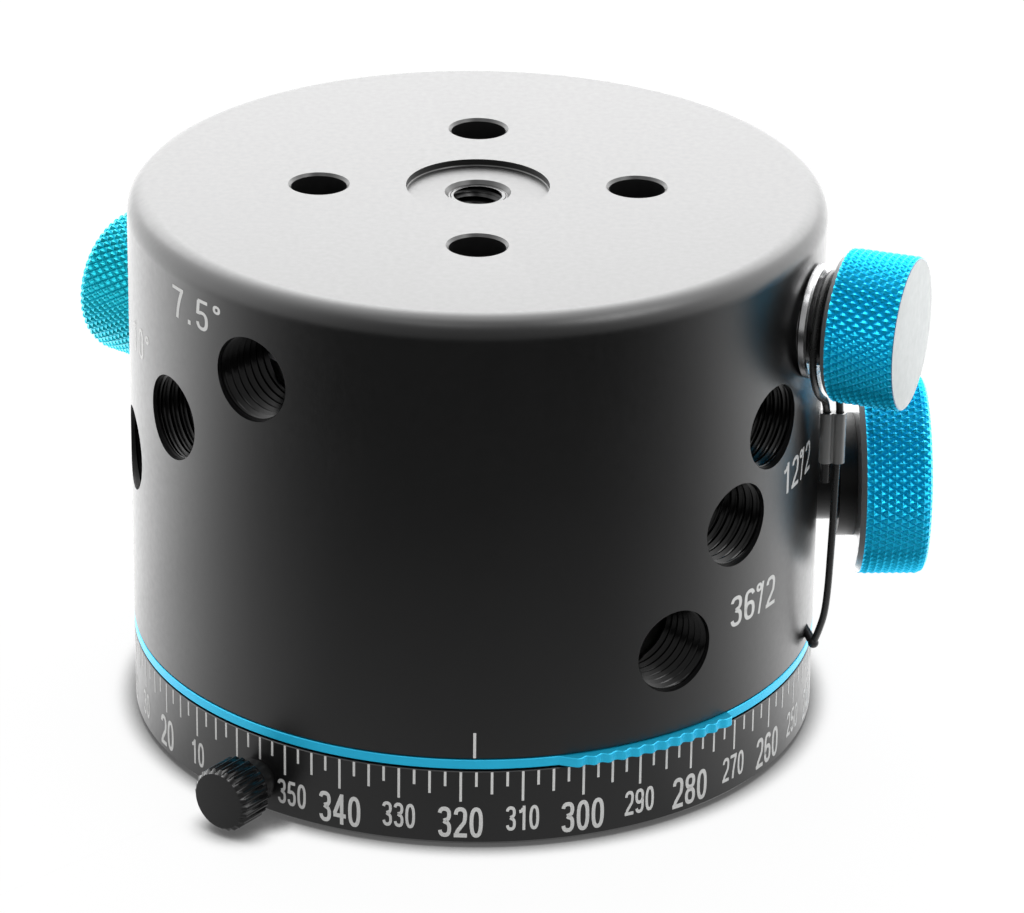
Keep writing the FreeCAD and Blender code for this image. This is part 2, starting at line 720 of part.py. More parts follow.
def brake_screw(name):
    """Threaded screw with a brass pad at its tip and a knob on its outer end."""
    place = (f"{name}_azimuth", f"{name}_z")
    knob_start = f"{name}_knob_start"
    knob_end = f"{name}_knob_end"
    spigot_end = f"{knob_start} + brake_spigot_length"
    hub_end = f"{knob_start} - 0.02"
    turned(f"{name}_pad", [
        ("0", "pad_start"),
        (f"{name}_pad_dia / 2", "pad_start"),
        (f"{name}_pad_dia / 2", "pad_start + pad_thick"),
        ("pad_stem_dia / 2", "pad_start + pad_thick"),
        ("pad_stem_dia / 2", "pad_start + pad_thick + pad_stem_length"),
        ("0", "pad_start + pad_thick + pad_stem_length"),
    ], *place)
    turned(f"{name}_screw", [
        ("pad_stem_dia / 2 + run_fit", "brake_start"),
        ("screw_r", "brake_start"),
        ("screw_r", "brake_hub_start"),
        (f"{name}_hub_dia / 2", "brake_hub_start"),
        (f"{name}_hub_dia / 2", hub_end),
        ("brake_spigot_dia / 2", hub_end),
        ("brake_spigot_dia / 2", spigot_end),
        ("0", spigot_end),
        ("0", "socket_end"),
        ("pad_stem_dia / 2 + run_fit", "socket_end"),
    ], *place)
    knob_r = f"{name}_knob_dia / 2"
    body = turned(f"{name}_knob", [
        ("brake_spigot_dia / 2 + seat_fit", knob_start),
        (f"{knob_r} - knob_inner_bevel", knob_start),
        (knob_r, f"{knob_start} + knob_inner_bevel"),
        (knob_r, knob_end),
        ("0", knob_end),
        ("0", f"{spigot_end} + 0.1"),
        ("brake_spigot_dia / 2 + seat_fit", f"{spigot_end} + 0.1"),
    ], *place)
    round_rim(body, f"{name}_knob_fillet", f"{name}_knob_round", knob_r, knob_end)


def dial_clamp():
    place = ("dial_screw_azimuth", "dial_screw_z")
    turned("dial_clamp_pad", [
        ("0", "dial_pad_start"),
        ("dial_pad_dia / 2", "dial_pad_start"),
        ("dial_pad_dia / 2", "dial_pad_start + dial_pad_length"),
        ("0", "dial_pad_start + dial_pad_length"),
    ], *place)
    turned("dial_clamp_screw", [
        ("0", "dial_screw_start"),
        ("dial_screw_dia / 2 - seat_fit", "dial_screw_start"),
        ("dial_screw_dia / 2 - seat_fit", "dial_screw_collar_start"),
        ("dial_screw_collar_dia / 2", "dial_screw_collar_start"),
        ("dial_screw_collar_dia / 2", "dial_knob_start - 0.02"),
        ("dial_knob_spigot_dia / 2", "dial_knob_start - 0.02"),
        ("dial_knob_spigot_dia / 2", "dial_knob_start + 2.5"),
        ("0", "dial_knob_start + 2.5"),
    ], *place)
    knob_r = "dial_knob_dia / 2"
    turned("dial_clamp_knob", [
        ("dial_knob_spigot_dia / 2 + seat_fit", "dial_knob_start"),
        (knob_r + " - dial_knob_bevel", "dial_knob_start"),
        (knob_r, "dial_knob_start + dial_knob_bevel"),
        (knob_r, "dial_knob_end - dial_knob_bevel"),
        (knob_r + " - dial_knob_bevel", "dial_knob_end"),
        ("0", "dial_knob_end"),
        ("0", "dial_knob_start + 2.6"),
        ("dial_knob_spigot_dia / 2 + seat_fit", "dial_knob_start + 2.6"),
    ], *place)


# The lanyard's route, chosen by hand. The loop lies across the plunger's axis, as
# distances sideways (positive to the back) and upwards from it. The rest is X, Y, Z.
TAIL = [(37.38, -12.0, 31.6), (37.42, -12.0, 36.6)]
LOOP = [(0.85, -9.3), (-2.9, -7.3), (-5.75, -3.4), (-5.3, 1.5), (-2.3, 5.3), (2.4, 5.3),
        (5.3, 1.5), (5.2, -3.0), (3.7, -6.6)]
STRAND = [
    (38.80, -11.95, 40.4),
    (38.78, -12.0, 36.2),
    (38.62, -12.0, 31.5),
    (38.55, -12.0, 27.1),
    (38.42, -12.0, 22.8),
    (38.30, -12.0, 18.7),
    (38.05, -11.8, 15.3),
    (37.55, -11.4, 13.1),
]


def corner_radius(before, here, after):
    """Largest tidy arc at a corner: 0.45 of the shorter run over tan of half the turn."""
    incoming = here - before
    outgoing = after - here
    turn = incoming.getAngle(outgoing)
    return 0.45 * min(incoming.Length, outgoing.Length) / math.tan(turn / 2)


def smooth_wire(points, note):
    """Straight runs joined by tangent arcs; prints each arc's radius."""
    edges = []
    radii = []
    start = points[0]
    for before, here, after in zip(points, points[1:], points[2:]):
        radius = corner_radius(before, here, after)
        incoming = (here - before).normalize()
        outgoing = (after - here).normalize()
        half = incoming.getAngle(outgoing) / 2
        trim = radius * math.tan(half)
        enter = here - incoming * trim
        leave = here + outgoing * trim
        inward = (outgoing - incoming).normalize()
        middle = here + inward * (radius / math.cos(half) - radius)
        edges.append(Part.LineSegment(start, enter).toShape())
        edges.append(Part.Arc(enter, middle, leave).toShape())
        start = leave
        radii.append(radius)
    edges.append(Part.LineSegment(start, points[-1]).toShape())
    print(note, "arc radii", [round(radius, 2) for radius in radii])
    return Part.Wire(edges)


def tube(wire, radius):
    """Round tube along a wire."""
    first = wire.OrderedEdges[0]
    start = first.valueAt(first.FirstParameter)
    along = first.tangentAt(first.FirstParameter)
    ring_edge = Part.makeCircle(radius, start, along)
    return wire.makePipeShell([Part.Wire([ring_edge])], True, True)


def outward(azimuth):
    angle = math.radians(azimuth)
    return FreeCAD.Vector(math.sin(angle), -math.cos(angle), 0)


def shaped(label, shape):
    """A piece whose shape is set directly."""
    feature = doc.addObject("Part::Feature", label)
    feature.Label = label
    feature.Shape = shape
    feature.Placement = FreeCAD.Placement()
    sub_parts.append(feature)
    return feature


def lanyard_route():
    """All points of the wire, from its tail round the neck and down to the bead."""
    out = outward(num("plunger_azimuth"))
    up = FreeCAD.Vector(0, 0, 1)
    side = up.cross(out)
    centre = out * (num("barrel_end") + num("loop_offset")) + up * num("row_top_z")
    bead = outward(num("anchor_azimuth")) * num("anchor_reach") + up * num("anchor_z")
    points = [FreeCAD.Vector(*point) for point in TAIL]
    points += [centre + side * across + up * above for across, above in LOOP]
    points += [FreeCAD.Vector(*point) for point in STRAND]
    back = (points[-1] - bead).normalize()
    points.append(bead + back * num("anchor_bead_dia / 2"))
    return points


def lanyard():
    points = lanyard_route()
    wire = smooth_wire(points, "lanyard")
    wire_r = num("wire_dia / 2")
    cord = tube(wire, wire_r)
    length = wire.Length
    print("lanyard length", round(length, 2), "volume", round(cord.Volume, 2),
          "section times length", round(math.pi * wire_r ** 2 * length, 2))
    shaped("lanyard_wire", cord)

    up = FreeCAD.Vector(0, 0, 1)
    bottom = num("sleeve_top_z - sleeve_length")
    bore_r = num("wire_dia / 2 + wire_fit")
    lanes = [FreeCAD.Vector(points[1].x, points[1].y, bottom)]
    lanes.append(FreeCAD.Vector(STRAND[1][0], STRAND[1][1], bottom))
    barrel_r = num("sleeve_thick / 2")
    height = num("sleeve_length")
    barrels = [Part.makeCylinder(barrel_r, height, lane, up) for lane in lanes]
    web = Part.makeBox((lanes[1] - lanes[0]).Length, num("sleeve_web"), height)
    web.translate(lanes[0] - FreeCAD.Vector(0, num("sleeve_web / 2"), 0))
    sleeve = barrels[0].fuse([barrels[1], web]).removeSplitter()
    bores = [Part.makeCylinder(bore_r, height + 2, lane - up, up) for lane in lanes]
    shaped("lanyard_sleeve", sleeve.cut(bores[0]).cut(bores[1]))

    cap_length = num("tail_cap_length")
    foot = lanes[0] - up * cap_length
    cap = Part.makeCylinder(num("tail_cap_dia / 2"), cap_length, foot, up)
    hollow = Part.makeCylinder(bore_r, cap_length, foot + up * 0.4, up)
    shaped("lanyard_tail_cap", cap.cut(hollow))


def lanyard_anchor():
    """Pin in the wall with a bead in which the wire ends."""
    body = new_body("lanyard_anchor")
    body.setExpression("Placement", anchor_place())
    flat = bind("placement(vector(0; 0; 0); rotation(vector(0; 0; 1); 0))")
    primitive(body, "AdditiveSphere", "anchor_bead", flat, Radius="anchor_bead_dia / 2")
    primitive(body, "AdditiveCylinder", "anchor_pin", flat, Radius="anchor_dia / 2",
              Height="anchor_length")


base_plate()
tripod_insert()
screw_group("drum_screws", "drum_screw_dia", "drum_screw_head", "drum_screw_length",
            "drum_screw_sunk", "drum_screw_pitch", "drum_screw_count", "90")
ring("glide_ring", "hub_dia / 2 + 0.1", "flange_dia / 2 - 0.1", "flange_thick", "dial_step")
dial_ring()
thumb_ring()
detent_drum()
thrust_washer("lower", "cover_top")
thrust_washer("upper", "floor_top")
pivot()
bottom_cover()
screw_group("cover_screws", "cover_screw_dia", "cover_screw_head", "cover_screw_length",
            "rotor_bottom", "cover_screw_pitch", "cover_screw_count", "cover_screw_azimuth")
housing()
plunger()
plunger_spring()
brake_screw("lock")
brake_screw("drag")
dial_clamp()
lanyard()
lanyard_anchor()

doc.recompute()
for item in doc.Objects:
    if "Invalid" in item.State or "Error" in item.State:
        raise RuntimeError(f"{item.Name} failed: {item.State}")
os.makedirs("parts", exist_ok=True)
for part in sub_parts:
    if part.Shape.isNull() or not part.Shape.isValid():
        raise RuntimeError(f"{part.Label} has no valid shape")
    part.Shape.exportStep(f"parts/{part.Label}.step")
    print(f"{part.Label}: {len(part.Shape.Solids)} solids, {part.Shape.Volume:.1f} mm3")
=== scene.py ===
import json
import math

import bmesh
import bpy
from mathutils import Matrix, Vector


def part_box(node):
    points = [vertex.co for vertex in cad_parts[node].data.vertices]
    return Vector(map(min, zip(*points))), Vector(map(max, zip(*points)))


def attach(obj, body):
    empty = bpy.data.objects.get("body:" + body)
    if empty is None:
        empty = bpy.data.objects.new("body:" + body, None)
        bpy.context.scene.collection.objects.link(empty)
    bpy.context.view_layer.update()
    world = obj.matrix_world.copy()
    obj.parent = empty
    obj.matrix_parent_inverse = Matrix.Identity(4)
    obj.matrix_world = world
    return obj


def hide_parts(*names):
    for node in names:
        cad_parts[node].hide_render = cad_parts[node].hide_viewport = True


# Looks of the panoramic tripod head, in metres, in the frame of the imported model.
# An azimuth is an angle in degrees about +Z from the front (-Y), positive towards +X.

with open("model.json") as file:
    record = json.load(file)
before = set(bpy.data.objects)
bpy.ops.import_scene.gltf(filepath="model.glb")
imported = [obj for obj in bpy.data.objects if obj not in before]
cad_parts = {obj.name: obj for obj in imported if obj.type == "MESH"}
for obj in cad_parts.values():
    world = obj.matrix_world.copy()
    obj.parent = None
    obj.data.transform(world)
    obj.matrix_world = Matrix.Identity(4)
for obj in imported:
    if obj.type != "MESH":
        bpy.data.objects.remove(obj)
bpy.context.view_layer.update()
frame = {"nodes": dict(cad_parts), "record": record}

MM = 0.001
UP = Vector((0, 0, 1))

# Camera: its turn, tilt and roll in degrees, and its place, from the photograph's perspective
CAMERA_ANGLES = (0.439, 24.386, 0.751)
CAMERA_PLACE = (0, -0.524178, 0.265822)
SENSOR_WIDTH = 36
FOCAL_LENGTH = 184.93

# Body
BODY_R = 37.5 * MM
BODY_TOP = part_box("housing")[1].z
ROTOR_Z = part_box("housing")[0].z
RIM_ROUND = 2.5 * MM
FOOT_BEVEL = 0.15 * MM
BORE_R = 29.8 * MM
CEILING = 53.4 * MM
BOSS_R = 21.0 * MM
BOSS_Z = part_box("upper_thrust_washer")[1].z + 0.03 * MM
COVER_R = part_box("bottom_cover")[1].x + 0.05 * MM
COVER_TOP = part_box("bottom_cover")[1].z + 0.02 * MM

# Knob axes: azimuth and height
TOP_ROW = 49.9 * MM
PLUNGER = (70.9, TOP_ROW)
LOCK = (92.0, 25.9 * MM)
DRAG = (-128.0, 36.0 * MM)
CLAMP = (-36.8, 4.2 * MM)

# Side holes: azimuth and height
UPPER_ROW = 41.2 * MM
MIDDLE_ROW = 32.1 * MM
LOW_ROW = 20.0 * MM
SIDE_HOLES = [
    (34.4, LOW_ROW), (47.3, MIDDLE_ROW), (56.8, UPPER_ROW),
    (-38.3, TOP_ROW), (-58.4, UPPER_ROW), (-79.0, MIDDLE_ROW), (-99.6, LOW_ROW),
    (122.0, TOP_ROW), (142.0, UPPER_ROW), (162.0, MIDDLE_ROW), (182.0, LOW_ROW),
]
SCREW_HOLES = [PLUNGER, LOCK, DRAG]
THREAD_R = 4.96 * MM
THREAD_CREST = 4.44 * MM
THREAD_PITCH = 1.0 * MM
THREAD_END = 36.75 * MM
MOUTH_R = 4.6 * MM

# Top: the round recess, the camera thread in it and the plate holes round it
RECESS_R = 7.7 * MM
RECESS_DEPTH = 0.75 * MM
CAMERA_HOLE_R = 3.175 * MM
CAMERA_HOLE_DEPTH = 11.5 * MM
CAMERA_MOUTH_R = 3.55 * MM
CAMERA_MOUTH_DEPTH = 0.38 * MM
CAMERA_ROOT = 3.16 * MM
CAMERA_CREST = 2.62 * MM
CAMERA_PITCH = 1.27 * MM
CAMERA_THREAD_FOOT = 11.4 * MM
CAMERA_THREAD_HEAD = 0.4 * MM
PLATE_HOLES = 4
PLATE_CIRCLE_R = 17 * MM
PLATE_HOLE_R = 3.0 * MM
PLATE_HOLE_DEPTH = 9 * MM
PLATE_BEVEL = 0.3 * MM

# Dial: the azimuth of a value is DIAL_ZERO less the value
DIAL_ZERO = 318.195
DIAL_TOP = 9.0 * MM
DIAL_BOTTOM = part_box("dial_ring")[0].z
DIAL_BEVEL = 0.4 * MM
DIAL_EDGE = 0.08 * MM
DIAL_BORE_R = 30.05 * MM
DIAL_FOOT_R = 33.05 * MM
DIAL_FOOT_TOP = 2.05 * MM
DIAL_NECK_R = 34.5 * MM
DIAL_NECK_TOP = 10.25 * MM
CLAMP_HOLE_R = 2.0 * MM

# Thumb ring: its band, and the azimuths of its raised tab and of the ribs on that
RING_R = 34.55 * MM
RING_BOTTOM = 9.28 * MM
RING_TOP = 10.35 * MM
RING_EDGE = 0.07 * MM
TAB_START, TAB_END = 14.0, 46.2
TAB_RISE, TAB_FALL = 2.6, 0.5
TAB_HEIGHT = 1.05 * MM
RIBS_START, RIBS_END = 17.0, 44.5
RIB_PITCH = 2.5
RIB_DEPTH = 0.38 * MM

# White marks: the ticks, long, short, middle and short in turn, and the numerals
TICK_STEP = 2.5
TICK_TOP = 8.93 * MM
TICK_WIDTH = 0.27 * MM
TICK_FEET = (5.45 * MM, 7.23 * MM, 6.33 * MM, 7.23 * MM)
MARK_LIFT = 0.012 * MM
MARK_STEP = 0.45 * MM
GLYPH_WIDTH = 0.47
GLYPH_GAP = 0.09
STROKE = 0.135

# Knurled knobs
KNURL_DEPTH = 0.32 * MM
KNURL_ROW = 0.39 * MM
GRIP_BEVEL = 0.55 * MM

# The lanyard's route. The loop lies across the plunger's axis, as distances sideways
# and upwards from it, in millimetres. The rest is X, Y, Z in millimetres.
TAIL = [(37.38, -12.0, 31.6), (37.42, -12.0, 36.6)]
LOOP = [(0.85, -9.3), (-2.9, -7.3), (-5.75, -3.4), (-5.3, 1.5), (-2.3, 5.3), (2.4, 5.3),
        (5.3, 1.5), (5.2, -3.0), (3.7, -6.6)]
LOOP_REACH = 39.25
STRAND = [
    (38.80, -11.95, 40.4), (38.78, -12.0, 36.2), (38.62, -12.0, 31.5), (38.55, -12.0, 27.1),
    (38.42, -12.0, 22.8), (38.30, -12.0, 18.7), (38.05, -11.8, 15.3), (37.55, -11.4, 13.1),
]
# The bead of the anchor: azimuth, distance from the axis, height and radius
BEAD_AZIMUTH, BEAD_REACH, BEAD_HEIGHT, BEAD_R = 73.4, 38.6, 11.3, 0.6
WIRE_DIA = 0.8 * MM

# Studio in reflections: its full brightness, and the part of it that is left at each share
# of the half turn from the front to the back
SHINE = 3.5
SHINE_STOPS = [(0.0, 0.10), (0.2, 0.12), (0.35, 0.26), (0.5, 0.62), (0.7, 0.88), (1.0, 1.0)]


# Places and directions

def outward(azimuth):
    angle = math.radians(azimuth)
    return Vector((math.sin(angle), -math.cos(angle), 0))


def around(azimuth, height, radius):
    return outward(azimuth) * radius + UP * height


def radial(azimuth, height):
    """Matrix whose +Z points outward at an azimuth, with +Y up."""
    out = outward(azimuth)
    turn = Matrix((UP.cross(out), UP, out)).transposed().to_4x4()
    return Matrix.Translation(UP * height) @ turn


# Camera

def make_camera():
    yaw, pitch, roll = (math.radians(angle) for angle in CAMERA_ANGLES)
    ahead = Vector((math.sin(yaw) * math.cos(pitch), math.cos(yaw) * math.cos(pitch),
                    -math.sin(pitch)))
    level = Vector((math.cos(yaw), -math.sin(yaw), 0))
    rise = level.cross(ahead)
    right = math.cos(roll) * level + math.sin(roll) * rise
    top = -math.sin(roll) * level + math.cos(roll) * rise
    data = bpy.data.cameras.new("camera")
    data.sensor_width = SENSOR_WIDTH
    data.lens = FOCAL_LENGTH
    data.clip_start = 0.01
    data.clip_end = 20
    camera = bpy.data.objects.new("camera", data)
    matrix = Matrix((right, top, -ahead)).transposed().to_4x4()
    matrix.translation = CAMERA_PLACE
    camera.matrix_world = matrix
    bpy.context.scene.collection.objects.link(camera)
    bpy.context.scene.camera = camera


# Shader nodes

def feed(links, slot, value):
    """Set an input to a number, or link it to another node's output."""
    if isinstance(value, (int, float)):
        slot.default_value = value
    else:
        links.new(value, slot)


def noise(nodes, links, scale, detail=3.0, stretch=(1, 1, 1)):
    where = nodes.new("ShaderNodeTexCoord")
    mapping = nodes.new("ShaderNodeMapping")
    mapping.inputs["Scale"].default_value = stretch
    links.new(where.outputs["Object"], mapping.inputs["Vector"])
    texture = nodes.new("ShaderNodeTexNoise")
    texture.inputs["Scale"].default_value = scale
    texture.inputs["Detail"].default_value = detail
    links.new(mapping.outputs["Vector"], texture.inputs["Vector"])
    return texture.outputs["Fac"]


def spread(nodes, links, value, low, high, start=0.0, end=1.0):
    """Map the range start to end of a value to the range low to high."""
    change = nodes.new("ShaderNodeMapRange")
    change.inputs["From Min"].default_value = start
    change.inputs["From Max"].default_value = end
    change.inputs["To Min"].default_value = low
    change.inputs["To Max"].default_value = high
    links.new(value, change.inputs["Value"])
    return change.outputs["Result"]


def tint(nodes, links, value, dark, light):
    """Colour ramp between two colours."""
    ramp = nodes.new("ShaderNodeValToRGB")
    ramp.color_ramp.elements[0].position = 0.3
    ramp.color_ramp.elements[0].color = (*dark, 1)
    ramp.color_ramp.elements[1].position = 0.7
    ramp.color_ramp.elements[1].color = (*light, 1)
    links.new(value, ramp.inputs["Fac"])
    return ramp.outputs["Color"]


def bump(nodes, links, shader, height, strength, distance):
    relief = nodes.new("ShaderNodeBump")
    relief.inputs["Strength"].default_value = strength
    relief.inputs["Distance"].default_value = distance
    links.new(height, relief.inputs["Height"])
    links.new(relief.outputs["Normal"], shader.inputs["Normal"])


def calculate(nodes, links, operation, *values):
    """Sum, product or other operation on numbers and outputs."""
    node = nodes.new("ShaderNodeMath")
    node.operation = operation
    for slot, value in zip(node.inputs, values):
        feed(links, slot, value)
    return node.outputs[0]


def blend(nodes, links, share, first, second):
    """Mix of two shaders, where share is that of the second."""
    node = nodes.new("ShaderNodeMixShader")
    feed(links, node.inputs[0], share)
    links.new(first, node.inputs[1])
    links.new(second, node.inputs[2])
    return node.outputs[0]


# Materials. TURNED squeezes the grain along Z into fine lines.

TURNED = (1, 1, 14)
FINISHES = {
    "black_anodised": dict(dark=(0.003, 0.003, 0.0032), light=(0.0045, 0.0045, 0.0047),
                           rough=0.36, metallic=0.0, grain=1400.0, relief=0.2, ior=1.65),
    "black_turned": dict(dark=(0.003, 0.003, 0.0032), light=(0.005, 0.005, 0.0052), rough=0.3,
                         metallic=0.0, grain=700.0, relief=0.25, ior=1.65, stretch=TURNED),
    # A darker copy of the body's black for the threads inside the holes: its extra darkness is
    # painted shade in the holes.
    "black_thread_painted_shade": dict(dark=(0.0015, 0.0015, 0.0016), light=(0.003, 0.003, 0.0031),
                         rough=0.2, metallic=0.0, grain=2200.0, relief=0.3, ior=1.42),
    "black_screw": dict(dark=(0.002, 0.002, 0.0022), light=(0.004, 0.004, 0.0042),
                        rough=0.22, metallic=0.0, grain=1600.0),
    # A darker, duller copy of black_turned for the lock and drag screw hubs: its extra darkness is
    # painted shade, for the shadow on the lock hub.
    "black_hub_painted_shade": dict(dark=(0.002, 0.002, 0.0021), light=(0.004, 0.004, 0.0041), rough=0.42,
                      metallic=0.0, grain=700.0, relief=0.25, ior=1.35, stretch=TURNED),
    "blue_anodised": dict(dark=(0.0, 0.43, 0.7), light=(0.003, 0.53, 0.84),
                          rough=0.28, metallic=0.7, grain=1500.0, relief=0.1),
    "blue_ring": dict(dark=(0.01, 0.46, 0.74), light=(0.02, 0.54, 0.84),
                      rough=0.4, metallic=0.4, grain=1500.0, relief=0.1),
    "teal_anodised": dict(dark=(0.0, 0.36, 0.46), light=(0.002, 0.45, 0.56),
                          rough=0.28, metallic=0.72, grain=1500.0, relief=0.1),
    # Dark blue for the thin rim between the plunger knob's knurl and its end face: painted shade,
    # for the dark line of shade at that edge.
    "edge_blue_painted_shade": dict(dark=(0.002, 0.06, 0.14), light=(0.004, 0.09, 0.2),
                      rough=0.3, metallic=0.5, grain=1500.0, relief=0.1),
    "bare_alloy": dict(dark=(0.6, 0.61, 0.61), light=(0.72, 0.73, 0.73),
                       rough=0.36, metallic=0.9, grain=1200.0, relief=0.25),
    "faced_alloy": dict(dark=(0.17, 0.183, 0.183), light=(0.22, 0.233, 0.233),
                        rough=0.42, metallic=0.9, grain=1200.0, relief=0.25),
    "sleeve_alloy": dict(dark=(0.2, 0.2, 0.2), light=(0.32, 0.32, 0.31),
                         rough=0.42, metallic=0.8, relief=0.4),
    "drum_alloy": dict(dark=(0.62, 0.62, 0.64), light=(0.74, 0.74, 0.76), rough=0.3,
                       metallic=1.0, grain=700.0, relief=0.2, stretch=TURNED),
    "bright_steel": dict(dark=(0.66, 0.66, 0.67), light=(0.78, 0.78, 0.79),
                         rough=0.24, metallic=1.0, grain=800.0, relief=0.08),
    "plain_steel": dict(dark=(0.45, 0.45, 0.46), light=(0.58, 0.58, 0.59),
                        rough=0.3, metallic=1.0),
    "dark_steel": dict(dark=(0.03, 0.03, 0.032), light=(0.06, 0.06, 0.062),
                       rough=0.35, metallic=0.8),
    "bronze": dict(dark=(0.42, 0.24, 0.09), light=(0.56, 0.36, 0.16), rough=0.35, metallic=1.0),
    "brass": dict(dark=(0.62, 0.42, 0.15), light=(0.76, 0.56, 0.25), rough=0.28, metallic=1.0),
    "glide_plastic": dict(dark=(0.7, 0.7, 0.66), light=(0.82, 0.82, 0.78),
                          rough=0.45, metallic=0.0, grain=500.0),
    "wire_coating": dict(dark=(0.008, 0.008, 0.008), light=(0.016, 0.016, 0.016),
                         rough=0.28, metallic=0.0, grain=2500.0, relief=0.3),
    "white_infill": dict(dark=(0.46, 0.46, 0.455), light=(0.58, 0.58, 0.57),
                         rough=0.6, metallic=0.0, grain=2500.0, relief=0.4),
}


def make_finish(name, dark, light, rough, metallic, grain=900.0, relief=0.15, ior=1.5,
                stretch=(1, 1, 1)):
    """Material with a fine grain in its colour, roughness and surface."""
    material = bpy.data.materials.new(name)
    material.use_nodes = True
    nodes, links = material.node_tree.nodes, material.node_tree.links
    shader = nodes["Principled BSDF"]
    cloud = noise(nodes, links, scale=60.0)
    fine = noise(nodes, links, scale=grain, detail=4.0, stretch=stretch)
    links.new(tint(nodes, links, cloud, dark, light), shader.inputs["Base Color"])
    links.new(spread(nodes, links, fine, rough * 0.85, rough * 1.15), shader.inputs["Roughness"])
    shader.inputs["Metallic"].default_value = metallic
    shader.inputs["IOR"].default_value = ior
    bump(nodes, links, shader, fine, strength=relief, distance=0.02 * MM)
    return material


def make_materials():
    return {name: make_finish(name, **finish) for name, finish in FINISHES.items()}


# Mesh makers

def new_piece(name, mesh, materials, body, replaces=()):
    """An object that rides on a body."""
    piece = bpy.data.objects.new(name, mesh)
    bpy.context.scene.collection.objects.link(piece)
    for material in materials:
        mesh.materials.append(MATERIALS[material])
    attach(piece, body)
    if replaces:
        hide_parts(*replaces)


def mesh_from(name, vertices, faces):
    mesh = bpy.data.meshes.new(name)
    mesh.from_pydata(vertices, [], faces)
    return mesh


def weld(mesh, distance, face_out=False):
    """Join the vertices closer than a distance. face_out turns all faces outward."""
    work = bmesh.new()
    work.from_mesh(mesh)
    bmesh.ops.remove_doubles(work, verts=work.verts, dist=distance)
    if face_out:
        bmesh.ops.recalc_face_normals(work, faces=work.faces)
    work.to_mesh(mesh)
    work.free()


def smooth(mesh, angle=35):
    """Smooth shading except across edges sharper than the angle."""
    mesh.shade_smooth()
    mesh.set_sharp_from_angle(angle=math.radians(angle))


def arc(centre, radius, start, end, steps):
    """Points of an arc in the plane of radius and height, angles in degrees."""
    points = []
    for i in range(steps + 1):
        angle = math.radians(start + (end - start) * i / steps)
        points.append((centre[0] + radius * math.cos(angle), centre[1] + radius * math.sin(angle)))
    return points


def lathe(name, profile, matrix=Matrix(), steps=128, closed=False, shift=None):
    """Turn a profile of (radius, height) about Z. shift changes a radius by the angle."""
    vertices = []
    for i in range(steps):
        turn = 2 * math.pi * i / steps
        for radius, height in profile:
            reach = shift(turn, radius) if shift else radius
            vertices.append(matrix @ Vector((reach * math.cos(turn), reach * math.sin(turn),
                                             height)))
    count = len(profile)
    faces = []
    for i in range(steps):
        here = i * count
        there = (i + 1) % steps * count
        for j in range(count if closed else count - 1):
            k = (j + 1) % count
            faces.append((here + j, there + j, there + k, here + k))
    mesh = mesh_from(name, vertices, faces)
    mesh.validate()
    weld(mesh, 1e-7, face_out=True)
    smooth(mesh)
    return mesh


def numbered(name, parts):
    """One mesh from pairs of a mesh and its material number."""
    whole = bmesh.new()
    for mesh, number in parts:
        before = len(whole.faces)
        whole.from_mesh(mesh)
        whole.faces.ensure_lookup_table()
        for face in whole.faces[before:]:
            face.material_index = number
    result = bpy.data.meshes.new(name)
    whole.to_mesh(result)
    whole.free()
    return result


def joined(name, meshes):
    """One mesh from several of one material."""
    return numbered(name, [(mesh, 0) for mesh in meshes])


def cut(mesh, cutters):
    """Take the cutter meshes away from a mesh with an exact boolean."""
    target = bpy.data.objects.new("cut_target", mesh)
    tool = bpy.data.objects.new("cut_tool", joined("cut_tool", cutters))
    collection = bpy.context.scene.collection
    collection.objects.link(target)
    collection.objects.link(tool)
    modifier = target.modifiers.new("cut", "BOOLEAN")
    modifier.operation = "DIFFERENCE"
    modifier.solver = "EXACT"
    modifier.use_self = True
    modifier.object = tool
    graph = bpy.context.evaluated_depsgraph_get()
    result = bpy.data.meshes.new_from_object(target.evaluated_get(graph))
    bpy.data.objects.remove(target)
    bpy.data.objects.remove(tool)
    return result


def round_wall(mesh):
    """Exact radial normals on the body's outer wall, so that it shades as one cylinder."""
    smooth(mesh)
    normals = [Vector(normal.vector) for normal in mesh.corner_normals]
    for face in mesh.polygons:
        centre = face.center
        reach = math.hypot(centre.x, centre.y)
        if abs(reach - BODY_R) < 0.1 * MM and abs(face.normal.z) < 0.05:
            flat = Vector((centre.x, centre.y, 0)).normalized()
            if face.normal.dot(flat) > 0.99:
                for loop in face.loop_indices:
                    point = mesh.vertices[mesh.loops[loop].vertex_index].co
                    normals[loop] = Vector((point.x, point.y, 0)).normalized()
    mesh.normals_split_custom_set(normals)


# Housing

def cylinder(radius, low, high, matrix, steps):
    return lathe("cutter", [(0, low), (radius, low), (radius, high), (0, high)], matrix, steps)


def threaded_wall(matrix, crest_r, root_r, pitch, start_at, end):
    """Wall of a threaded hole. start_at gives its inner end for an offset sideways."""
    steps = 64
    per_turn = 8
    rise = pitch / per_turn
    first = start_at(root_r)
    rows = int((end - first) / rise) + per_turn + 2
    vertices = []
    for i in range(steps + 1):
        turn = 2 * math.pi * i / steps
        low = start_at(root_r * math.cos(turn))
        for j in range(-per_turn, rows):
            height = min(end, max(low, first + (j + per_turn * i / steps) * rise))
            ridge = min(1.0, abs(2 * (j / per_turn % 1.0) - 1) * 1.3)
            radius = crest_r + (root_r - crest_r) * ridge
            vertices.append(matrix @ Vector((radius * math.cos(turn), radius * math.sin(turn),
                                             height)))
    count = rows + per_turn
    faces = []
    for i in range(steps):
        here = i * count
        there = here + count
        for j in range(count - 1):
            faces.append((here + j, here + j + 1, there + j + 1, there + j))
    mesh = mesh_from("thread", vertices, faces)
    weld(mesh, 2e-6)
    smooth(mesh, 50)
    return mesh


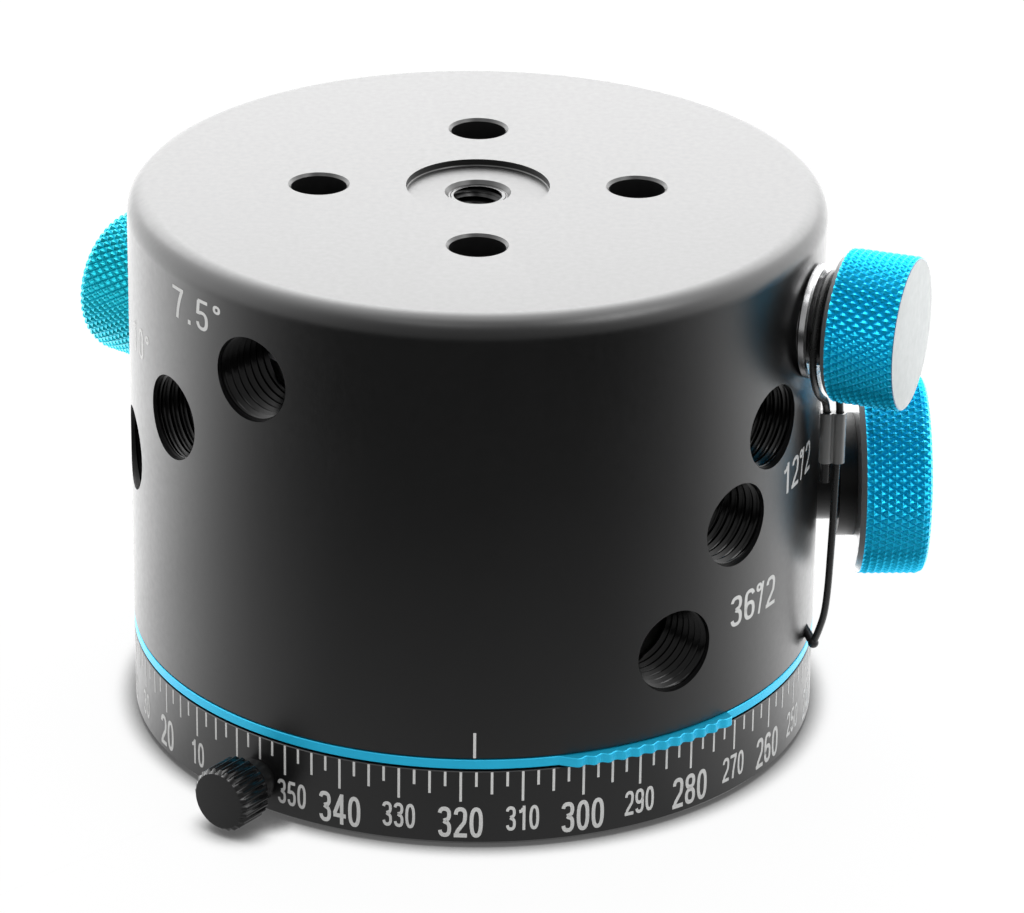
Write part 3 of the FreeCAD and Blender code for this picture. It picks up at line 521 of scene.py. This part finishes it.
def side_cutters():
    """Cutters of the side holes, narrower at the mouth, and of the plain screw holes."""
    inner = BORE_R - 0.4 * MM
    outer = BODY_R + 2 * MM
    hole = [(0, inner), (THREAD_R, inner), (THREAD_R, THREAD_END),
            (MOUTH_R, THREAD_END + 0.05 * MM), (MOUTH_R, outer), (0, outer)]
    cutters = [lathe("cutter", hole, radial(*place), 96) for place in SIDE_HOLES]
    cutters += [cylinder(THREAD_R, inner, outer, radial(*place), 72) for place in SCREW_HOLES]
    return cutters


def top_cutters(floor):
    """Cutters of the recess with its camera hole, and of the plate holes."""
    above = BODY_TOP + MM
    recess = [
        (0, floor - CAMERA_HOLE_DEPTH), (CAMERA_HOLE_R, floor - CAMERA_HOLE_DEPTH),
        (CAMERA_HOLE_R, floor - CAMERA_MOUTH_DEPTH), (CAMERA_MOUTH_R, floor),
        (RECESS_R - 0.1 * MM, floor), (RECESS_R, floor + 0.1 * MM), (RECESS_R, above), (0, above)]
    hole = [
        (0, BODY_TOP - PLATE_HOLE_DEPTH), (PLATE_HOLE_R, BODY_TOP - PLATE_HOLE_DEPTH),
        (PLATE_HOLE_R, BODY_TOP - PLATE_BEVEL), (PLATE_HOLE_R + PLATE_BEVEL, BODY_TOP),
        (PLATE_HOLE_R + PLATE_BEVEL, above), (0, above)]
    cutters = [lathe("cutter", recess, steps=96)]
    for k in range(PLATE_HOLES):
        centre = Matrix.Translation(around(360 / PLATE_HOLES * k, 0, PLATE_CIRCLE_R))
        cutters.append(lathe("cutter", hole, centre, 72))
    return cutters


def make_housing():
    rim = arc((BODY_R - RIM_ROUND, BODY_TOP - RIM_ROUND), RIM_ROUND, 0, 90, 14)
    foot = [(COVER_R, ROTOR_Z), (BODY_R - FOOT_BEVEL, ROTOR_Z), (BODY_R, ROTOR_Z + FOOT_BEVEL)]
    inside = [(0, BODY_TOP), (0, BOSS_Z), (BOSS_R, BOSS_Z), (BOSS_R, CEILING),
              (BORE_R, CEILING), (BORE_R, COVER_TOP), (COVER_R, COVER_TOP)]
    body = lathe("housing_body", foot + rim + inside, steps=360, closed=True)
    floor = BODY_TOP - RECESS_DEPTH
    body = cut(body, side_cutters() + top_cutters(floor))
    body.name = "housing_body"
    round_wall(body)
    new_piece("housing_body", body, ["black_anodised"], "rotor", ["housing"])

    threads = []
    for place in SIDE_HOLES:
        threads.append(threaded_wall(
            radial(*place), THREAD_CREST, THREAD_R - 0.01 * MM, THREAD_PITCH,
            lambda across: math.sqrt(BORE_R ** 2 - across ** 2), THREAD_END + 0.04 * MM))
    threads.append(threaded_wall(
        Matrix(), CAMERA_CREST, CAMERA_ROOT, CAMERA_PITCH,
        lambda across: floor - CAMERA_THREAD_FOOT, floor - CAMERA_THREAD_HEAD))
    # The threads take the darker black, whose extra darkness is painted shade inside the holes.
    new_piece("index_hole_threads", joined("index_hole_threads", threads), ["black_thread_painted_shade"],
              "rotor")


# White marks

def wrapped(mesh):
    """Bend a flat mesh round the body: X is the arc from the front, Y is up."""
    work = bmesh.new()
    work.from_mesh(mesh)
    low = min(vertex.co.x for vertex in work.verts)
    high = max(vertex.co.x for vertex in work.verts)
    for i in range(1, int((high - low) / MARK_STEP) + 1):
        everything = work.verts[:] + work.edges[:] + work.faces[:]
        bmesh.ops.bisect_plane(work, geom=everything, plane_co=(low + i * MARK_STEP, 0, 0),
                               plane_no=(1, 0, 0))
    for vertex in work.verts:
        azimuth = math.degrees(vertex.co.x / BODY_R)
        vertex.co = around(azimuth, vertex.co.y, BODY_R + MARK_LIFT)
    work.to_mesh(mesh)
    work.free()
    return mesh


def strip(azimuth, low, high, width):
    """Narrow upright mark."""
    centre = math.radians(azimuth) * BODY_R
    corners = [(centre - width / 2, low, 0), (centre + width / 2, low, 0),
               (centre + width / 2, high, 0), (centre - width / 2, high, 0)]
    return wrapped(mesh_from("strip", corners, [(0, 1, 2, 3)]))


def bow(centre, reach, start, end, steps):
    """Points of an arc of an ellipse, flattened towards a rounded box, angles in degrees."""
    points = []
    for i in range(steps + 1):
        angle = math.radians(start + (end - start) * i / steps)
        cosine, sine = math.cos(angle), math.sin(angle)
        x = math.copysign(abs(cosine) ** 0.8, cosine)
        y = math.copysign(abs(sine) ** 0.8, sine)
        points.append((centre[0] + reach[0] * x, centre[1] + reach[1] * y))
    return points


def make_glyphs():
    """Centre lines of narrow upright signs of height 1, and the width of each."""
    wide = GLYPH_WIDTH
    middle = wide / 2
    half = STROKE / 2
    reach = (wide - STROKE) / 2

    def loop(height, tall, start, end, steps, aside=0.0, share=1.0):
        return bow((middle + aside, height), (reach * share, tall - half), start, end, steps)

    two = loop(0.72, 0.28, 175, -12, 20)
    two += [(0.79 * wide, 0.5), (0.55 * wide, 0.36), (0.3 * wide, 0.22), (0.19 * wide, 0.1)]
    waist = [(0.42 * wide, 0.535)]
    six = [loop(0.68, 0.32, 22, 180, 16) + [(half, 0.32)], loop(0.31, 0.31, 180, 540, 32)]
    return {
        "0": ([loop(0.5, 0.5, 90, 450, 40)], wide),
        "1": ([[(0.3, 0), (0.3, 1)], [(0.07, 0.765), (0.15, 0.775), (0.21, 0.82), (0.25, 0.9)]],
              wide),
        "2": ([two, [(0, half), (wide, half)]], wide),
        "3": ([loop(0.745, 0.255, 170, -80, 20, -0.01) + waist,
               waist + loop(0.28, 0.28, 82, -170, 22)], wide),
        "4": ([[(0.7 * wide, 0), (0.7 * wide, 1)], [(0.66 * wide, 0.93), (0.1 * wide, 0.33)],
               [(0, 0.29), (wide + 0.02, 0.29)]], wide + 0.02),
        "5": ([[(0.93 * wide, 1 - half), (0.2 * wide, 1 - half)],
               [(0.24 * wide, 1 - half), (0.16 * wide, 0.49)],
               loop(0.32, 0.32, 128, -168, 24)], wide),
        "6": (six, wide),
        "7": ([[(0, 1 - half), (wide, 1 - half)],
               [(0.86 * wide, 0.9), (0.66 * wide, 0.62), (0.5 * wide, 0.3), (0.43 * wide, 0)]],
              wide),
        "8": ([loop(0.75, 0.25, 90, 450, 30, share=0.94), loop(0.275, 0.275, 90, 450, 32)], wide),
        "9": ([[(wide - x, 1 - y) for x, y in stroke] for stroke in six], wide),
        "°": ([bow((0.1, 0.87), (0.085, 0.095), 90, 450, 24)], 0.2),
        "/": ([[(0.02, 0), (0.2, 1)]], 0.22),
        ".": ([[(0.07, 0), (0.07, 0.14)]], 0.14),
    }


def ribbon(points, half, closed):
    """Corners and faces of a flat band along a centre line."""
    count = len(points)
    corners = []
    for i, (x, y) in enumerate(points):
        before = points[i - 1] if closed or i else points[i]
        after = points[(i + 1) % count] if closed or i < count - 1 else points[i]
        tangent = Vector((after[0] - before[0], after[1] - before[1])).normalized()
        corners.append((x - tangent.y * half, y + tangent.x * half))
        corners.append((x + tangent.y * half, y - tangent.x * half))
    faces = []
    for i in range(count if closed else count - 1):
        j = (i + 1) % count
        faces.append((2 * i, 2 * i + 1, 2 * j + 1, 2 * j))
    return corners, faces


def lettering(text, azimuth, low, height, width, weight=1.0, kerns=()):
    """Numerals of a given size, centred at an azimuth, with their foot at a height. kerns
    moves each sign sideways, in glyph heights."""
    kerns = list(kerns) + [0.0] * len(text)
    corners, faces = [], []
    cursor = 0.0
    for letter, kern in zip(text, kerns):
        strokes, advance = GLYPHS[letter]
        cursor += kern
        half = STROKE / 2 * weight * (0.75 if letter in "°/" else 1.0)
        for stroke in strokes:
            closed = math.dist(stroke[0], stroke[-1]) < 1e-6
            band, quads = ribbon(stroke[:-1] if closed else stroke, half, closed)
            first = len(corners)
            corners += [(x + cursor, y) for x, y in band]
            faces += [[first + k for k in quad] for quad in quads]
        cursor += advance + GLYPH_GAP
    length = cursor - GLYPH_GAP
    centre = math.radians(azimuth) * BODY_R
    placed = [(centre + (x / length - 0.5) * width, low + y * height, 0) for x, y in corners]
    return wrapped(mesh_from("lettering", placed, faces))


# Dial

def make_dial_band():
    groove_r = BODY_R - 2.0 * MM
    profile = [
        (DIAL_FOOT_R, DIAL_BOTTOM), (BODY_R - DIAL_BEVEL, DIAL_BOTTOM),
        (BODY_R, DIAL_BOTTOM + DIAL_BEVEL), (BODY_R, DIAL_TOP - DIAL_EDGE),
        (BODY_R - DIAL_EDGE, DIAL_TOP), (groove_r, DIAL_TOP), (groove_r, RING_BOTTOM),
        (DIAL_NECK_R, RING_BOTTOM), (DIAL_NECK_R, DIAL_NECK_TOP), (DIAL_BORE_R, DIAL_NECK_TOP),
        (DIAL_BORE_R, DIAL_FOOT_TOP), (DIAL_FOOT_R, DIAL_FOOT_TOP)]
    band = lathe("dial_band", profile, steps=360, closed=True)
    inner, outer = 29 * MM, 39 * MM
    band = cut(band, [cylinder(CLAMP_HOLE_R, inner, outer, radial(*CLAMP), 48)])
    band.name = "dial_band"
    round_wall(band)
    new_piece("dial_band", band, ["black_anodised"], "dial", ["dial_ring"])


def make_dial_marks():
    """Ticks at every 2.5 degrees and numbers at every 10, larger at every 20."""
    marks = []
    for k in range(round(360 / TICK_STEP)):
        marks.append(strip(DIAL_ZERO - TICK_STEP * k, TICK_FEET[k % 4], TICK_TOP, TICK_WIDTH))
    for value in range(10, 360, 10):
        # 350 stands aside for the clamp screw
        azimuth = DIAL_ZERO - value + (1.25 if value == 350 else 0)
        if value % 20 == 0:
            foot, height, digit_width = 1.2 * MM, 3.6 * MM, 1.57
        else:
            foot, height, digit_width = 1.95 * MM, 2.9 * MM, 1.17
        text = str(value)
        marks.append(lettering(text, azimuth, foot, height, digit_width * len(text) * MM))
    new_piece("dial_marks", joined("dial_marks", marks), ["white_infill"], "dial")


def make_housing_marks():
    """Index line over the dial, and the angle of each row beside its hole."""
    labels = [
        strip(azimuth=0.36, low=10.6 * MM, high=13.55 * MM, width=0.3 * MM),
        lettering("7.5°", azimuth=-51.0, low=53.2 * MM, height=3.5 * MM, width=8.2 * MM,
                  weight=0.8, kerns=(0, 0.08, 0.1, 0.1)),
        lettering("10°", azimuth=-72.0, low=44.6 * MM, height=3.5 * MM, width=6.4 * MM,
                  weight=0.8, kerns=(0, 0.1, 0.1)),
        lettering("36°/2", azimuth=52.5, low=20.2 * MM, height=3.6 * MM, width=8.2 * MM,
                  weight=0.9, kerns=(0, 0, 0, -0.2, 0.05)),
        lettering("12°/2", azimuth=66.5, low=32.2 * MM, height=3.6 * MM, width=8.2 * MM,
                  weight=0.9, kerns=(0, 0, 0, -0.2, 0.05)),
    ]
    new_piece("housing_marks", joined("housing_marks", labels), ["white_infill"], "rotor")


def make_thumb_ring():
    def shift(turn, radius):
        azimuth = (math.degrees(turn) + 90 + 180) % 360 - 180
        if radius < BODY_R - 0.3 * MM or not TAB_START <= azimuth <= TAB_END:
            return radius
        rise = min(1.0, (azimuth - TAB_START) / TAB_RISE, (TAB_END - azimuth) / TAB_FALL)
        wave = 0.0
        if RIBS_START < azimuth < RIBS_END:
            wave = 0.5 - 0.5 * math.cos(2 * math.pi * (azimuth - RIBS_START) / RIB_PITCH)
        return radius + rise * TAB_HEIGHT - wave * RIB_DEPTH

    profile = [(RING_R, RING_BOTTOM), (BODY_R - RING_EDGE, RING_BOTTOM),
               (BODY_R, RING_BOTTOM + RING_EDGE), (BODY_R, RING_TOP - RING_EDGE),
               (BODY_R - RING_EDGE, RING_TOP), (RING_R, RING_TOP)]
    mesh = lathe("thumb_band", profile, steps=1440, closed=True, shift=shift)
    new_piece("thumb_band", mesh, ["blue_ring"], "dial", ["thumb_ring"])


# Knobs

def knurl(matrix, profile, count):
    """Diamond knurl over a profile of (radius, height, depth) rows, pyramids and grooves
    taking turns round each row."""
    columns = 4 * count
    vertices = []
    for j, (radius, height, depth) in enumerate(profile):
        for k in range(columns):
            turn = 2 * math.pi * k / columns
            along = (k / 2 + j / 2) % 2
            across = (k / 2 - j / 2) % 2
            fall = max(abs(along - 1), abs(across - 1))
            reach = radius - depth * min(1.0, max(0.0, fall * 1.25 - 0.25))
            vertices.append(matrix @ Vector((reach * math.cos(turn), reach * math.sin(turn),
                                             height)))
    faces = []
    for j in range(len(profile) - 1):
        for k in range(columns):
            low = j * columns + k
            low_next = j * columns + (k + 1) % columns
            high, high_next = low + columns, low_next + columns
            if (k + j) % 2:
                faces += [(low, low_next, high), (low_next, high_next, high)]
            else:
                faces += [(low, low_next, high_next), (low, high_next, high)]
    return mesh_from("knurl", vertices, faces)


def grip_rows(radius, start, end, corner):
    """Rows of a knurled band as (radius, height, depth), shallow at both ends. A corner
    radius rounds its outer end."""
    rows = max(4, round((end - start) / KNURL_ROW))
    profile = []
    for j in range(rows + 1):
        fade = 0.5 if j in (0, rows) else 1.0
        profile.append((radius - KNURL_DEPTH * (1 - fade) * 0.5,
                        start + (end - start) * j / rows, KNURL_DEPTH * fade))
    if corner:
        profile.pop()
        for j in range(5):
            angle = math.radians(90 * j / 4)
            profile.append((radius - corner + corner * math.cos(angle),
                            end + corner * math.sin(angle), KNURL_DEPTH * (1 - j / 4) ** 0.7))
    return profile


def grip(name, node, axis, body, radius, start, end, colour, end_colour, count,
         corner=0.0, face_r=None, inner_r=4.2 * MM):
    """Knurled knob: the band, its bare inner chamfer and its end. The end has a rounded
    corner, or a sharp edge round a flat face."""
    matrix = radial(*axis)
    edge = radius - KNURL_DEPTH * 0.5
    knurl_start = start + GRIP_BEVEL
    knurl_end = end - max(corner, 0.06 * MM)
    band = knurl(matrix, grip_rows(radius, knurl_start, knurl_end, corner), count)
    inner = lathe("inner", [(inner_r, start + 0.6 * MM), (inner_r, start),
                            (edge - GRIP_BEVEL, start), (edge, knurl_start)], matrix, 144)
    parts = [(band, 0), (inner, 1)]
    if corner:
        lip = radius - corner
        floor = end - 0.12 * MM
        face = [(lip, end), (lip - 0.4 * MM, end), (lip - 0.6 * MM, floor), (0, floor)]
        parts.append((lathe("outer", face, matrix, 144), 2))
    else:
        floor = end + 0.01 * MM
        face = [(face_r, end), (face_r - 0.1 * MM, floor), (0, floor)]
        # The rim between knurl and face takes the dark blue of painted shade.
        rim = [(edge - 0.02 * MM, knurl_end), (face_r, end)]
        parts.append((lathe("outer", face, matrix, 144), 2))
        parts.append((lathe("rim", rim, matrix, 144), 3))
    new_piece(name, numbered(name, parts), [colour, "bare_alloy", end_colour, "edge_blue_painted_shade"],
              body, [node])


def make_grips():
    grip("plunger_grip", "plunger_knob", PLUNGER, "plunger", radius=8.25 * MM,
         start=40.5 * MM, end=48.4 * MM, colour="blue_anodised", end_colour="faced_alloy",
         count=54, face_r=7.96 * MM, inner_r=2.2 * MM)
    grip("lock_grip", "lock_knob", LOCK, "lock_turn", radius=11.0 * MM,
         start=41.45 * MM, end=49.2 * MM, colour="blue_anodised", end_colour="blue_anodised",
         count=72, corner=1.0 * MM)
    grip("drag_grip", "drag_knob", DRAG, "drag_turn", radius=8.25 * MM,
         start=42.6 * MM, end=50.9 * MM, colour="teal_anodised", end_colour="teal_anodised",
         count=54, corner=0.9 * MM)


def make_clamp_head():
    """Fluted head of the dial's clamp screw."""
    flutes = 24
    flute_depth = 0.3 * MM
    bore_r = 1.4 * MM
    radius = 3.55 * MM
    bevel = 0.45 * MM
    start = 40.0 * MM
    end = 44.45 * MM
    wall_width = bevel * 0.9
    wall = radius - wall_width

    def shift(turn, reach):
        if reach < wall:
            return reach
        fade = min(1.0, (reach - wall) / wall_width)
        return reach - fade * flute_depth * (0.5 - 0.5 * math.cos(flutes * turn)) ** 1.5

    profile = [(bore_r, start + 0.4 * MM), (bore_r, start), (radius - bevel, start),
               (radius, start + bevel), (radius, end - bevel), (radius - bevel, end),
               (radius - bevel - 0.15 * MM, end + 0.02 * MM), (0, end + 0.02 * MM)]
    mesh = lathe("clamp_head", profile, radial(*CLAMP), 288, shift=shift)
    new_piece("clamp_head", mesh, ["black_screw"], "dial_knob",
              ["dial_clamp_knob"])


# Lanyard

def lanyard_points():
    azimuth, height = PLUNGER
    out = outward(azimuth)
    side = UP.cross(out)
    centre = out * LOOP_REACH * MM + UP * height
    points = [Vector(point) * MM for point in TAIL]
    points += [centre + side * across * MM + UP * above * MM for across, above in LOOP]
    points += [Vector(point) * MM for point in STRAND]
    bead = around(BEAD_AZIMUTH, BEAD_HEIGHT * MM, BEAD_REACH * MM)
    back = (points[-1] - bead).normalized()
    points.append(bead + back * BEAD_R * MM)
    return points


def make_lanyard():
    points = lanyard_points()
    data = bpy.data.curves.new("lanyard", "CURVE")
    data.dimensions = "3D"
    spline = data.splines.new("NURBS")
    spline.points.add(len(points) - 1)
    for control, point in zip(spline.points, points):
        control.co = (*point, 1)
    spline.order_u = 3
    spline.use_endpoint_u = True
    spline.resolution_u = 10
    data.bevel_depth = WIRE_DIA / 2
    data.bevel_resolution = 5
    data.use_fill_caps = True
    data.materials.append(MATERIALS["wire_coating"])
    wire = bpy.data.objects.new("lanyard", data)
    bpy.context.scene.collection.objects.link(wire)
    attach(wire, "rotor")
    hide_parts("lanyard_wire")


# Materials of the CAD nodes that stay

def paint_frame():
    paint = {node["node"]: node["material_slot"] for node in frame["record"]["subparts"]}
    # The screw hubs take the darker black, whose extra darkness is painted shade.
    paint["lock_screw"] = "black_hub_painted_shade"
    paint["drag_screw"] = "black_hub_painted_shade"
    paint["plunger_cap"] = "black_turned"
    paint["dial_clamp_screw"] = "black_turned"
    paint["lanyard_anchor"] = "dark_steel"
    paint["lanyard_sleeve"] = "sleeve_alloy"
    for name, node in frame["nodes"].items():
        node.data.materials.clear()
        node.data.materials.append(MATERIALS[paint[name]])


# Stage

def way_round(nodes, links, source):
    """Direction of a point or vector as a share of a half turn, 0 in front and 1 behind."""
    split = nodes.new("ShaderNodeSeparateXYZ")
    links.new(source, split.inputs[0])
    forward = calculate(nodes, links, "MULTIPLY", split.outputs["Y"], -1.0)
    sideways = calculate(nodes, links, "ABSOLUTE", split.outputs["X"])
    turn = calculate(nodes, links, "ARCTAN2", sideways, forward)
    return calculate(nodes, links, "DIVIDE", turn, math.pi)


def surround(nodes, links, share):
    """Colour of the studio by direction, dark in front and bright at the back."""
    ramp = nodes.new("ShaderNodeValToRGB")
    elements = ramp.color_ramp.elements
    while len(elements) < len(SHINE_STOPS):
        elements.new(0.5)
    for element, (place, value) in zip(elements, SHINE_STOPS):
        element.position = place
        element.color = (value, value, value, 1)
    links.new(share, ramp.inputs["Fac"])
    return ramp.outputs["Color"]


def floor_shine(nodes, links):
    """Colour of the floor in reflections, darker in front beyond the object's foot."""
    place = nodes.new("ShaderNodeNewGeometry").outputs["Position"]
    share = way_round(nodes, links, place)
    distance = nodes.new("ShaderNodeVectorMath")
    distance.operation = "LENGTH"
    links.new(place, distance.inputs[0])
    near = spread(nodes, links, distance.outputs["Value"], low=1.0, high=0.0, start=0.05,
                  end=0.14)
    behind = spread(nodes, links, share, low=0.0, high=1.0, start=0.25, end=0.6)
    kept = calculate(nodes, links, "MAXIMUM", near, behind)
    dimmed = nodes.new("ShaderNodeVectorMath")
    dimmed.operation = "SCALE"
    links.new(surround(nodes, links, share), dimmed.inputs[0])
    links.new(spread(nodes, links, kept, low=0.03, high=1.0), dimmed.inputs["Scale"])
    return dimmed.outputs[0]


def floor_material():
    material = bpy.data.materials.new("floor_white")
    material.use_nodes = True
    nodes, links = material.node_tree.nodes, material.node_tree.links
    shader = nodes["Principled BSDF"]
    shader.inputs["Base Color"].default_value = (0.86, 0.86, 0.86, 1)
    shader.inputs["Roughness"].default_value = 0.7
    path = nodes.new("ShaderNodeLightPath")
    # Seen by the camera: white, with a narrow painted contact shadow under the object, drawn from
    # ambient occlusion
    nearby = nodes.new("ShaderNodeAmbientOcclusion")
    nearby.inputs["Distance"].default_value = 4 * MM
    nearby.samples = 12
    glow = nodes.new("ShaderNodeEmission")
    painted_contact_shadow = spread(nodes, links, nearby.outputs["AO"], low=0.1, high=1.0, start=0.45,
                     end=0.85)
    links.new(painted_contact_shadow, glow.inputs["Strength"])
    white = blend(nodes, links, 0.93, shader.outputs[0], glow.outputs[0])
    seen = blend(nodes, links, path.outputs["Is Camera Ray"], shader.outputs[0], white)
    shine = nodes.new("ShaderNodeEmission")
    shine.inputs["Strength"].default_value = SHINE
    links.new(floor_shine(nodes, links), shine.inputs["Color"])
    both = blend(nodes, links, path.outputs["Is Glossy Ray"], seen, shine.outputs[0])
    links.new(both, nodes["Material Output"].inputs["Surface"])
    return material


def make_floor():
    size = 6.0
    corners = [(-size, -size, 0), (size, -size, 0), (size, size, 0), (-size, size, 0)]
    mesh = mesh_from("floor", corners, [(0, 1, 2, 3)])
    mesh.materials.append(floor_material())
    floor = bpy.data.objects.new("floor", mesh)
    floor.location.z = -0.02 * MM
    bpy.context.scene.collection.objects.link(floor)


def make_world():
    """White to the camera, soft white on the object, and the bright studio in reflections."""
    world = bpy.data.worlds.new("studio")
    bpy.context.scene.world = world
    world.use_nodes = True
    nodes, links = world.node_tree.nodes, world.node_tree.links
    soft = nodes["Background"]
    soft.inputs["Strength"].default_value = 0.85
    plain = nodes.new("ShaderNodeBackground")
    plain.inputs["Strength"].default_value = 1.0
    for shader in (soft, plain):
        shader.inputs["Color"].default_value = (1, 1, 1, 1)
    mirror = nodes.new("ShaderNodeBackground")
    mirror.inputs["Strength"].default_value = SHINE
    where = nodes.new("ShaderNodeTexCoord")
    share = way_round(nodes, links, where.outputs["Generated"])
    links.new(surround(nodes, links, share), mirror.inputs["Color"])
    path = nodes.new("ShaderNodeLightPath")
    light = blend(nodes, links, path.outputs["Is Glossy Ray"], soft.outputs[0], mirror.outputs[0])
    seen = blend(nodes, links, path.outputs["Is Camera Ray"], light, plain.outputs[0])
    links.new(seen, nodes["World Output"].inputs["Surface"])


def softbox(name, azimuth, elevation, distance, width, height, brightness):
    """Area lamp aimed at the body's middle. brightness is its radiance, where 1 is white."""
    data = bpy.data.lights.new(name, "AREA")
    data.shape = "RECTANGLE"
    data.size = width
    data.size_y = height
    data.energy = brightness * math.pi * width * height
    lamp = bpy.data.objects.new(name, data)
    bpy.context.scene.collection.objects.link(lamp)
    rise = math.radians(elevation)
    back = outward(azimuth) * math.cos(rise) + UP * math.sin(rise)
    lamp.location = back * distance + UP * 35 * MM
    lamp.rotation_mode = "QUATERNION"
    lamp.rotation_quaternion = back.to_track_quat("Z", "Y")


def make_lights():
    softbox("back_softbox", azimuth=180, elevation=37, distance=1.0, width=1.5, height=0.75,
            brightness=2.5)
    softbox("right_softbox", azimuth=65, elevation=55, distance=0.9, width=0.35, height=0.35,
            brightness=4.0)
    softbox("front_softbox", azimuth=-20, elevation=66, distance=1.0, width=0.4, height=0.3,
            brightness=2.0)


bpy.context.scene.view_settings.view_transform = "Standard"
make_camera()
MATERIALS = make_materials()
GLYPHS = make_glyphs()
make_lanyard()
make_housing()
make_dial_band()
make_dial_marks()
make_housing_marks()
make_thumb_ring()
make_grips()
make_clamp_head()
paint_frame()
make_floor()
make_world()
make_lights()
